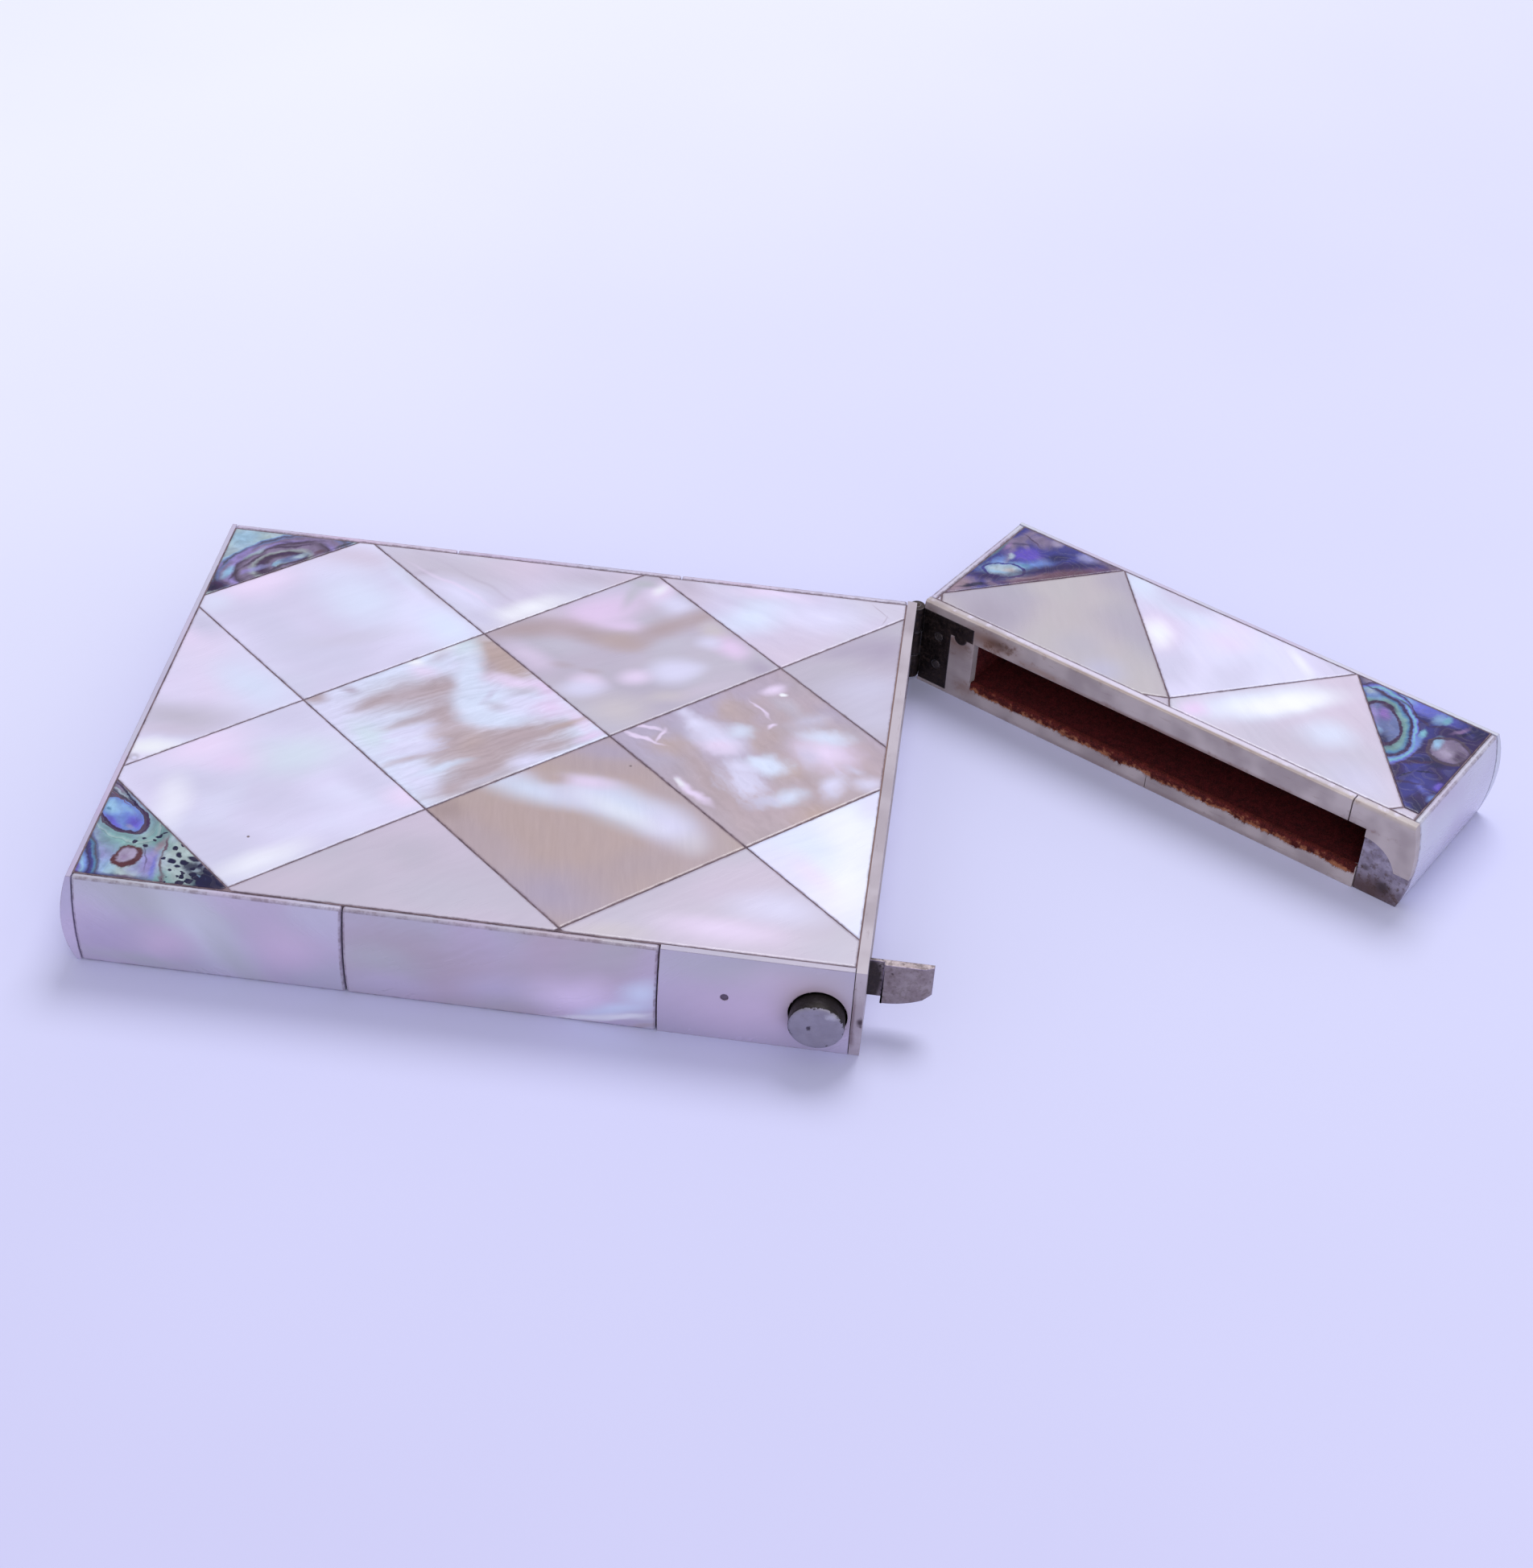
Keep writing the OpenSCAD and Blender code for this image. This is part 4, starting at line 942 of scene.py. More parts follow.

# the body's upper face; each patch is x, y and half sizes in mm, angle, tone, strength and softness; patches
# in the white tone paint the shell's highlights

topPlates = {
    "top_plate_left_hinge": {
        "piece": "plateLeftHinge", "depth": 1.02, "slot": "lilac_pearl", "seed": 3,
        "base": ("lilacWhite", "lilac"), "silk": 0.06, "tint": 0.1,
        "patches": [
            (-25.2, 27.6, 5, 2.2, 0, "pinkGrey", 0.8), (-34.8, 20.8, 5.2, 2.8, 42, "pinkWhite", 0.95),
            (-22.3, 19.9, 6, 3.8, -40, "blueWhite", 0.7), (-17.6, 24.6, 3.6, 1.2, -42, "blueWhite", 0.6),
            (-14.6, 22.2, 6, 0.9, -42, "beigeGrey", 0.7, 0.8), (-38.4, 16.2, 1.6, 1.6, 0, "blueWhite", 0.5),
            (-30.2, 12.2, 6, 2.8, -35, "lilac", 0.9), (-24.3, 8.7, 5, 2.8, 0, "lilac", 0.9),
            (-21.5, 12.5, 6.5, 1.3, 24, "grey", 0.35), (-11.8, 16.2, 4.4, 2.2, -40, "blueWhite", 0.95),
        ],
    },
    "top_half_end": {
        "piece": "plateEndHalf", "slot": "white_pearl", "seed": 5, "base": ("pinkWhite", "lilacWhite"),
        "silk": 0.06, "tint": 0.1,
        "patches": [
            (-38.6, 12, 3.4, 1.8, -40, "lilac", 0.9), (-30.6, 2.4, 4.4, 2.2, -30, "blueWhite", 0.8),
            (-36.6, -4.8, 6.4, 2.5, 6, "beigeGrey", 0.9), (-37.4, -7.2, 4, 1, 14, "pinkGrey", 0.6),
            # the white patch here is a painted glare on the shell
            (-38.2, -10.2, 3.2, 1.1, 20, "white", 1, 0.8), (-39.75, -12.3, 0.7, 0.5, 30, "grey", 0.9, 0.5),
            (-39.6, -12.4, 0.3, 0.2, 30, "lilacWhite", 0.9, 0.6),
        ],
    },
    "top_plate_left_catch": {
        "piece": "plateLeftCatch", "depth": 1.02, "slot": "white_pearl", "seed": 8,
        "base": ("lilacWhite", "lilac"), "silk": 0.07, "tint": 0.12, "pits": [(-24.2, -22.4, 0.18)],
        "patches": [
            (-24.3, -2.4, 4, 2.6, 0, "lilac", 0.8), (-32.7, -8.8, 4.6, 2.8, 38, "pinkWhite", 0.95),
            (-28.5, -11, 3, 2, 30, "pink", 0.7), (-22.3, -8.6, 4.6, 3, 20, "mint", 0.7),
            (-14.3, -11.2, 4.2, 1.8, -30, "lilac", 0.85), (-9.8, -13.2, 2.2, 1.6, 0, "pinkWhite", 0.95),
            (-31, -15, 3.4, 2, 20, "lilac", 0.9), (-22.3, -16.6, 5.4, 2.4, 0, "lilac", 0.75),
            # the white patches here and on the next row are painted highlights
            (-33.2, -18.6, 1.6, 3.6, 4, "white", 0.6), (-26.8, -24, 3.2, 2.2, 20, "lilac", 0.85),
            (-22, -25.6, 4.4, 1.6, 38, "white", 0.7),
        ],
    },
    "top_halves_hinge_edge": {
        "piece": "platesHingeEdge", "depth": 1.02, "slot": "white_pearl", "seed": 12,
        "base": ("lilac", "pinkGrey"), "silk": 0.1, "streakAngle": -25, "tint": 0.12, "lines": 0.07,
        "patches": [
            (-14.5, 27.6, 8, 3, -14, "beigeGrey", 0.85), (-16.4, 26.6, 1.4, 0.5, 20, "greyMauve", 0.7),
            (-11.4, 22.8, 4.4, 1.8, -30, "lilacWhite", 0.9),
            (-12.6, 24.6, 5, 0.25, -32, "pinkWhite", 0.5, 0.8),
            # the white patch here is a painted highlight
            (-9.8, 25.6, 5, 0.22, -34, "greyMauve", 0.4, 0.8), (-3.4, 21.6, 4.2, 1.5, 38, "white", 0.85),
            (-7.9, 18.6, 2, 1.4, 0, "lilac", 0.9), (3, 28.9, 5.4, 1.6, 0, "greyMauve", 0.6),
            (13.6, 29.4, 3.2, 1.6, -38, "greyMauve", 0.7), (24, 30, 4.4, 1.3, 0, "pinkWhite", 0.8),
            (22.3, 25, 4.4, 2.4, 38, "blueWhite", 0.95), (29.4, 26.4, 4.4, 2.6, 0, "lilacWhite", 0.9),
            (36.4, 29, 1.35, 0.09, -46, "greyMauve", 0.9, 0.6),
            (37.1, 27.2, 0.95, 0.08, 76, "greyMauve", 0.9, 0.6),
        ],
    },
    "top_plate_centre": {
        "piece": "plateCentre", "depth": 0.94, "soften": 1.3, "spread": 1.35, "slot": "warm_pearl",
        "seed": 17, "base": ("lilacWhite", "blueWhite"), "silk": 0.42, "warp": 0.8, "warpScale": 0.3,
        "tint": 0.1, "ragged": 0.12, "torn": 0.42, "streakAngle": 37, "streakWidth": 2.1,
        "streakLength": 0.15,
        "patches": [
            (-4.6, 12.2, 5, 2.7, -42, "tan", 1, 0.55), (-6.6, 9.8, 1.9, 1.5, 0, "roseBrown", 0.9, 0.8),
            (-12.8, 3.8, 5.2, 2.5, 30, "roseBrown", 0.9, 0.8),
            (-16.4, 1.6, 2.6, 0.9, 38, "roseBrown", 0.9, 0.8),
            (-10.4, 5.6, 2, 1.4, 40, "roseBrown", 0.9, 0.8),
            (-8.8, 0.8, 2.3, 3.6, 18, "roseBrown", 0.95, 0.8), (-4.4, -3.8, 4.6, 3.6, 0, "tan", 1, 0.75),
            (-0.4, -1.6, 5.2, 2.2, 38, "roseBrown", 1, 0.6),
            (4.2, 1.3, 3.6, 0.9, 38, "roseBrown", 0.95, 0.8),
            (-3, -7.6, 3.8, 3.2, 50, "roseBrown", 0.95, 0.7),
            (-5.6, -11.2, 2.8, 1.5, 40, "roseBrown", 0.9, 0.8),
            (3.4, -2.4, 3.4, 1.1, 38, "roseBrown", 0.9, 0.7),
            (-7.4, -4.6, 1.5, 3.3, -20, "roseBrown", 0.8, 0.8),
            (-23.4, 1.2, 1.4, 0.9, 0, "roseBrown", 0.95, 0.7),
            (-10.4, -6.9, 3.2, 0.45, 36, "roseBrown", 0.8, 0.7),
            (-12.2, -0.8, 3.6, 0.7, 36, "roseBrown", 0.8, 0.8),
            # the two white patches here are painted highlights
            (-13.9, 9.5, 0.9, 0.8, 0, "white", 0.95, 0.7), (-11.2, 12.4, 1.8, 0.7, 42, "white", 0.8, 0.8),
            (-8.9, 13.2, 1.5, 2, 0, "mint", 0.9, 0.8), (-7.4, 8, 1.5, 4.6, 8, "blueWhite", 0.95, 0.6),
            (-5.4, 3.6, 1.7, 2.8, -20, "blueWhite", 1, 0.6),
            (-3.2, 1.2, 2.9, 1.3, 14, "blueWhite", 0.95, 0.6),
            (-0.8, 4.5, 2, 1.9, 0, "lilacWhite", 0.95, 0.7),
            (-2.2, 8.1, 3.2, 1, -8, "pinkWhite", 0.95, 0.7), (1.2, 7.3, 2, 1.1, -42, "pink", 0.9, 0.8),
            (2.4, 4.3, 1.9, 1.5, 30, "pink", 0.9, 0.8), (5.6, 2.9, 2.6, 0.9, -42, "pinkWhite", 0.9, 0.8),
            (4.6, 1.9, 2.7, 0.4, 38, "tan", 0.7, 0.8), (7.6, 0.4, 1.8, 0.5, 38, "pink", 0.8, 0.8),
            (-12.6, 8, 1.5, 1.1, 0, "pinkWhite", 0.8, 0.8), (-1.2, 6.6, 1.7, 0.7, 10, "grey", 0.8),
            (-3.6, 3.5, 1.2, 0.8, 0, "grey", 0.8), (-4.6, 5.4, 0.35, 1.8, -16, "lilac", 0.7, 0.8),
            (-11.4, 10.9, 1.4, 0.7, 45, "grey", 0.8), (-19.7, 3.2, 0.9, 0.6, 0, "greyMauve", 0.9, 0.8),
            (-16, -4, 3, 1.5, -40, "mint", 0.8), (-12, -2.8, 2.6, 1.1, 30, "lilacWhite", 0.95, 0.5, "torn"),
            (-11.2, -5.2, 2.8, 1.5, 20, "lilacWhite", 0.95, 0.5, "torn"),
            (-9.2, -10.2, 2.6, 1.6, -40, "lilacWhite", 0.9, 0.7),
            (-7.2, -8, 2.7, 0.5, 34, "blueWhite", 0.95, 0.7),
            (1.4, -5.3, 2, 1.1, 38, "lilacWhite", 0.85, 0.8), (-2.4, -9, 2.2, 0.6, 42, "grey", 0.8, 0.8),
            (-4.2, -12.6, 3.2, 0.4, 42, "pink", 0.8, 0.7),
        ],
    },
    "top_plate_mid_hinge": {
        "piece": "plateMidHinge", "depth": 0.93, "spread": 1.25, "slot": "lilac_pearl", "seed": 22,
        "base": ("greyMauve", "beigeGrey"), "silk": 0.05, "warp": 0.9, "streakAngle": 30, "tint": 0.08,
        "patches": [
            (5.4, 26.4, 4.6, 2, 40, "lilac", 0.7), (4.4, 22.6, 5.8, 2.9, 35, "pink", 1, 0.8),
            (7.4, 20.4, 2.8, 1.3, 0, "pink", 0.8), (-0.7, 21.2, 2.6, 1.6, 0, "pinkGrey", 0.9),
            (13, 25.4, 3.8, 1.9, -40, "lilacWhite", 0.95, 0.8),
            # the pink-white and white patches here are a painted highlight
            (11, 28, 1.5, 2.3, -25, "pinkWhite", 1, 0.8), (10.8, 28.2, 0.7, 1.2, -25, "white", 0.8),
            (8.8, 29, 1.7, 0.8, 0, "greenGrey", 0.8), (7.6, 26.4, 0.7, 2.4, -12, "greenGrey", 0.6),
            (-2.6, 17.9, 5.6, 1.9, 22, "roseBrown", 1), (4, 18.4, 5, 1.7, -8, "roseBrown", 1),
            (8.4, 17.5, 3, 1.6, 0, "tan", 0.85), (12.4, 20.9, 5.4, 1.7, 42, "roseBrown", 1),
            (16.2, 23.4, 2.4, 1.4, 35, "roseBrown", 0.9), (1.4, 15.2, 3, 1.2, 0, "grey", 0.8),
            (14.3, 18, 3, 1.3, 35, "grey", 0.8), (18, 21.4, 1.8, 1.4, -40, "cream", 0.9, 0.8),
            (20.2, 18.8, 2.2, 1.7, -35, "pink", 1, 0.8), (17.7, 19.3, 1.3, 1.2, 0, "lilacWhite", 0.8),
            (24, 15.8, 2, 1.4, -40, "mauve", 0.8), (14.6, 13.2, 2.8, 2, 30, "lilacWhite", 1, 0.8),
            (15.6, 13.4, 2.4, 1.1, 30, "lilacWhite", 0.7),
            (10.6, 11.4, 1.8, 1.3, 20, "pinkWhite", 0.95, 0.8), (5.6, 9.8, 1.8, 1.3, 0, "pinkWhite", 0.9),
            (5.2, 8.4, 2.4, 1.3, 20, "lilacWhite", 0.9, 0.8), (-1.6, 12.8, 3.2, 1.5, -35, "pinkWhite", 0.6),
            (2.2, 12, 1.4, 0.6, 0, "roseBrown", 0.4), (5.6, 11.7, 1.3, 0.5, 0, "roseBrown", 0.4),
            (17.6, 10.2, 3.4, 1.1, 38, "pinkGrey", 0.7), (14.3, 8.6, 2.6, 1.1, 20, "cream", 0.7),
            (9.6, 5.6, 3.2, 2.4, 0, "cream", 0.8),
        ],
    },
    "top_plate_mid_catch": {
        "piece": "plateMidCatch", "depth": 0.9, "soften": 1.4, "grime": 0.85, "slot": "warm_pearl",
        "seed": 27, "base": ("tan", "roseBrown"), "silk": 0.12, "warp": 0.5, "tint": 0.04, "ragged": 0.05,
        "streakAngle": -80, "streakWidth": 2.4, "pits": [(12.5, -4, 0.18)],
        "patches": [
            (9.7, -1.8, 4.6, 1.8, 0, "mauve", 0.8), (9, -4.6, 6, 1.2, 0, "roseBrown", 0.7),
            (-0.4, -8.2, 2.8, 1.2, 14, "lilacWhite", 0.7), (3, -9.8, 5.6, 1.7, -10, "blueWhite", 0.95, 0.8),
            (9.6, -9.4, 4.6, 2.3, -8, "lilacWhite", 1, 0.7),
            (13.6, -11.2, 5.4, 2.5, -20, "blueWhite", 1, 0.7),
            # the white patches on this row and the second next row are painted highlights
            (18, -13, 3.6, 2.4, -38, "lilacWhite", 1, 0.8), (12.6, -11.6, 4.6, 1.2, -25, "white", 0.45),
            (8.4, -7.4, 2.8, 0.9, 0, "pinkWhite", 0.9), (4.8, -7.5, 1.4, 0.9, 0, "tan", 0.8, 0.8),
            (20.6, -15.4, 1.6, 1.6, 0, "white", 0.3), (3, -16, 6, 3.4, -30, "tan", 0.4),
            (8, -25.6, 5.6, 3.6, 0, "mauve", 0.85), (15.6, -19.8, 6, 2.4, 40, "roseBrown", 0.8),
            (-2, -17.6, 4.6, 1.6, -38, "roseBrown", 0.7), (-5.2, -14.6, 1.6, 1.6, 0, "warmBrown", 0.7),
        ],
    },
    "top_plate_right": {
        "piece": "plateRight", "depth": 0.95, "soften": 1.2, "spread": 1.22, "grime": 0.85,
        "slot": "warm_pearl", "seed": 31, "base": ("roseBrown", "mauve"), "silk": 0.3, "warp": 0.9,
        "warpScale": 0.45, "tint": 0.06, "ragged": 0.2, "streakAngle": -50, "streakWidth": 1.2,
        "streakLength": 0.28,
        "patches": [
            (22.2, 7.4, 2.4, 1.6, -50, "orangeTan", 0.8), (25.9, 2.8, 1.6, 2.2, -20, "orangeTan", 0.7),
            (16.3, 0.3, 2.6, 1.6, 0, "orangeTan", 0.7), (33, -8, 3, 1.8, 38, "orangeTan", 0.7),
            (26.4, 2.6, 8.4, 1.2, -54, "roseBrown", 0.9), (20.6, -4, 8, 1.2, -52, "roseBrown", 0.9),
            (31.8, -3.6, 7, 0.9, -54, "roseBrown", 0.8), (24, 8.6, 4.6, 1.3, 40, "roseBrown", 0.7),
            (29.4, -1.8, 1.4, 2.6, -30, "orangeTan", 0.5), (21, 2.3, 3.4, 2.1, -30, "lilacWhite", 1, 0.8),
            (21.3, 1, 2, 1.2, 0, "pinkWhite", 0.9), (18.4, 4.5, 1.9, 1.2, -30, "lilacWhite", 0.95, 0.75),
            (16.75, 6.4, 1.3, 0.8, -50, "lilacWhite", 0.7, 0.8),
            (23.4, 4, 1.5, 1.1, 0, "blueWhite", 0.8, 0.8), (32.8, 2, 3.6, 2.9, -20, "pinkWhite", 1, 0.8),
            (32.6, 4.6, 2.8, 1.4, 0, "blueWhite", 0.9, 0.8), (31.2, 1, 1.3, 1.8, 0, "lilac", 0.6),
            (30.5, 7.2, 2.4, 1.1, 30, "lilac", 0.7), (28, 9.2, 2.6, 1.1, -40, "beigeGrey", 0.8),
            (33, 9.1, 2, 1.3, -40, "mauve", 0.6), (26, 11.9, 1.5, 0.9, 40, "pinkWhite", 0.9, 0.7),
            # the white patch here is a painted glint
            (27.2, 11.4, 0.4, 0.35, 0, "white", 1, 0.6), (24.9, 8.2, 1.8, 0.2, -48, "pinkWhite", 0.85, 0.7),
            (26.5, 5.5, 0.7, 0.3, 50, "pinkWhite", 0.95, 0.7),
            (26.75, -1.3, 2.5, 1.6, 0, "blueWhite", 1, 0.6),
            (23.8, -1.9, 1.6, 1, -20, "lilacWhite", 0.85, 0.8),
            (24.9, -4.6, 3, 1.9, -50, "lilacWhite", 0.9, 0.8, "torn"),
            (29.6, -6.1, 2.2, 1.3, 35, "blueWhite", 0.95, 0.8),
            (27.6, -7.2, 2.2, 0.8, 30, "lilac", 0.8, 0.8),
            (34.25, -3.4, 1.3, 2.2, -12, "lilacWhite", 0.95, 0.8),
            (37.8, -2.4, 1.8, 1.2, 10, "lilacWhite", 0.8, 0.8),
            (36.3, -0.4, 1.4, 0.6, -20, "lilac", 0.7, 0.8), (19.7, -7, 2.3, 0.6, -40, "pinkWhite", 1, 0.7),
            # the white patch here is a painted glint
            (18.2, -5.9, 0.8, 0.4, -40, "white", 0.8, 0.8),
            (12.6, 2.9, 2.4, 0.28, -6, "pinkWhite", 0.9, 0.6),
            (12.9, 1.1, 2.6, 0.26, -20, "pinkWhite", 0.9, 0.6),
            (14.9, 1.9, 1.1, 0.26, 75, "pinkWhite", 0.9, 0.6),
        ],
    },
    "top_plate_mouth_hinge": {
        "piece": "plateMouthHinge", "slot": "lilac_pearl", "seed": 36, "base": ("beigeGrey", "greyMauve"),
        "silk": 0.08, "tint": 0.08, "chips": [(36.6, 26.1, 0.55, 0.34), (30.9, 20.6, 0.3, 0.2)],
        "patches": [
            (37.3, 21.6, 3.4, 3, 0, "mauve", 0.85), (33, 20.4, 2.4, 1.4, 30, "mauve", 0.6),
            (36.5, 14, 4.6, 2.6, 20, "lilac", 0.85), (37.6, 9.4, 3.6, 3, 0, "lilac", 0.7),
            (36.6, 26.8, 1.4, 0.6, 0, "pinkGrey", 0.6, 0.8),
        ],
    },
    "top_plate_mouth_catch": {
        "piece": "plateMouthCatch", "depth": 1.02, "slot": "white_pearl", "seed": 41,
        "base": ("blueWhite", "lilacWhite"), "silk": 0.07, "tint": 0.1,
        "patches": [
            # the two white patches here are painted highlights
            (36.5, -9.5, 4.2, 3.4, -40, "white", 0.7), (37, -17.5, 3.2, 5.6, 0, "white", 0.75),
            (32.6, -13.5, 4, 2.2, -40, "blueWhite", 0.8), (38.6, -5.6, 1.6, 2.4, 0, "lilacWhite", 0.9),
            (33.4, -17.6, 1.4, 3, 40, "pinkWhite", 0.6),
        ],
    },
    "top_halves_catch_edge": {
        "piece": "platesCatchEdge", "slot": "warm_pearl", "seed": 46, "base": ("pinkGrey", "beigeGrey"),
        "silk": 0.07, "tint": 0.08,
        "patches": [
            (-18, -28, 5, 2.4, 30, "pinkGrey", 0.8), (-7.3, -21.9, 3, 2.4, 0, "beigeGrey", 0.8),
            (-2.7, -27.4, 6, 2.4, 0, "grey", 0.7), (14, -29.9, 4, 1.2, 0, "cream", 0.8),
            (27.3, -19.6, 3.6, 2, 0, "pinkGrey", 0.9), (30.7, -23.7, 4.4, 2.2, 0, "lilacWhite", 0.8),
            (25.6, -27.8, 5.4, 1.8, 0, "pinkWhite", 0.9), (36.4, -29, 3.4, 1.6, 0, "grey", 0.6),
        ],
    },
}

for cadNode, spec in topPlates.items():
    material = pearlMaterial(spec["piece"], spec)
    chips = spec.get("chips", ())
    platePiece(cadNode, spec["piece"], "case", material, True, spec["seed"], chips)

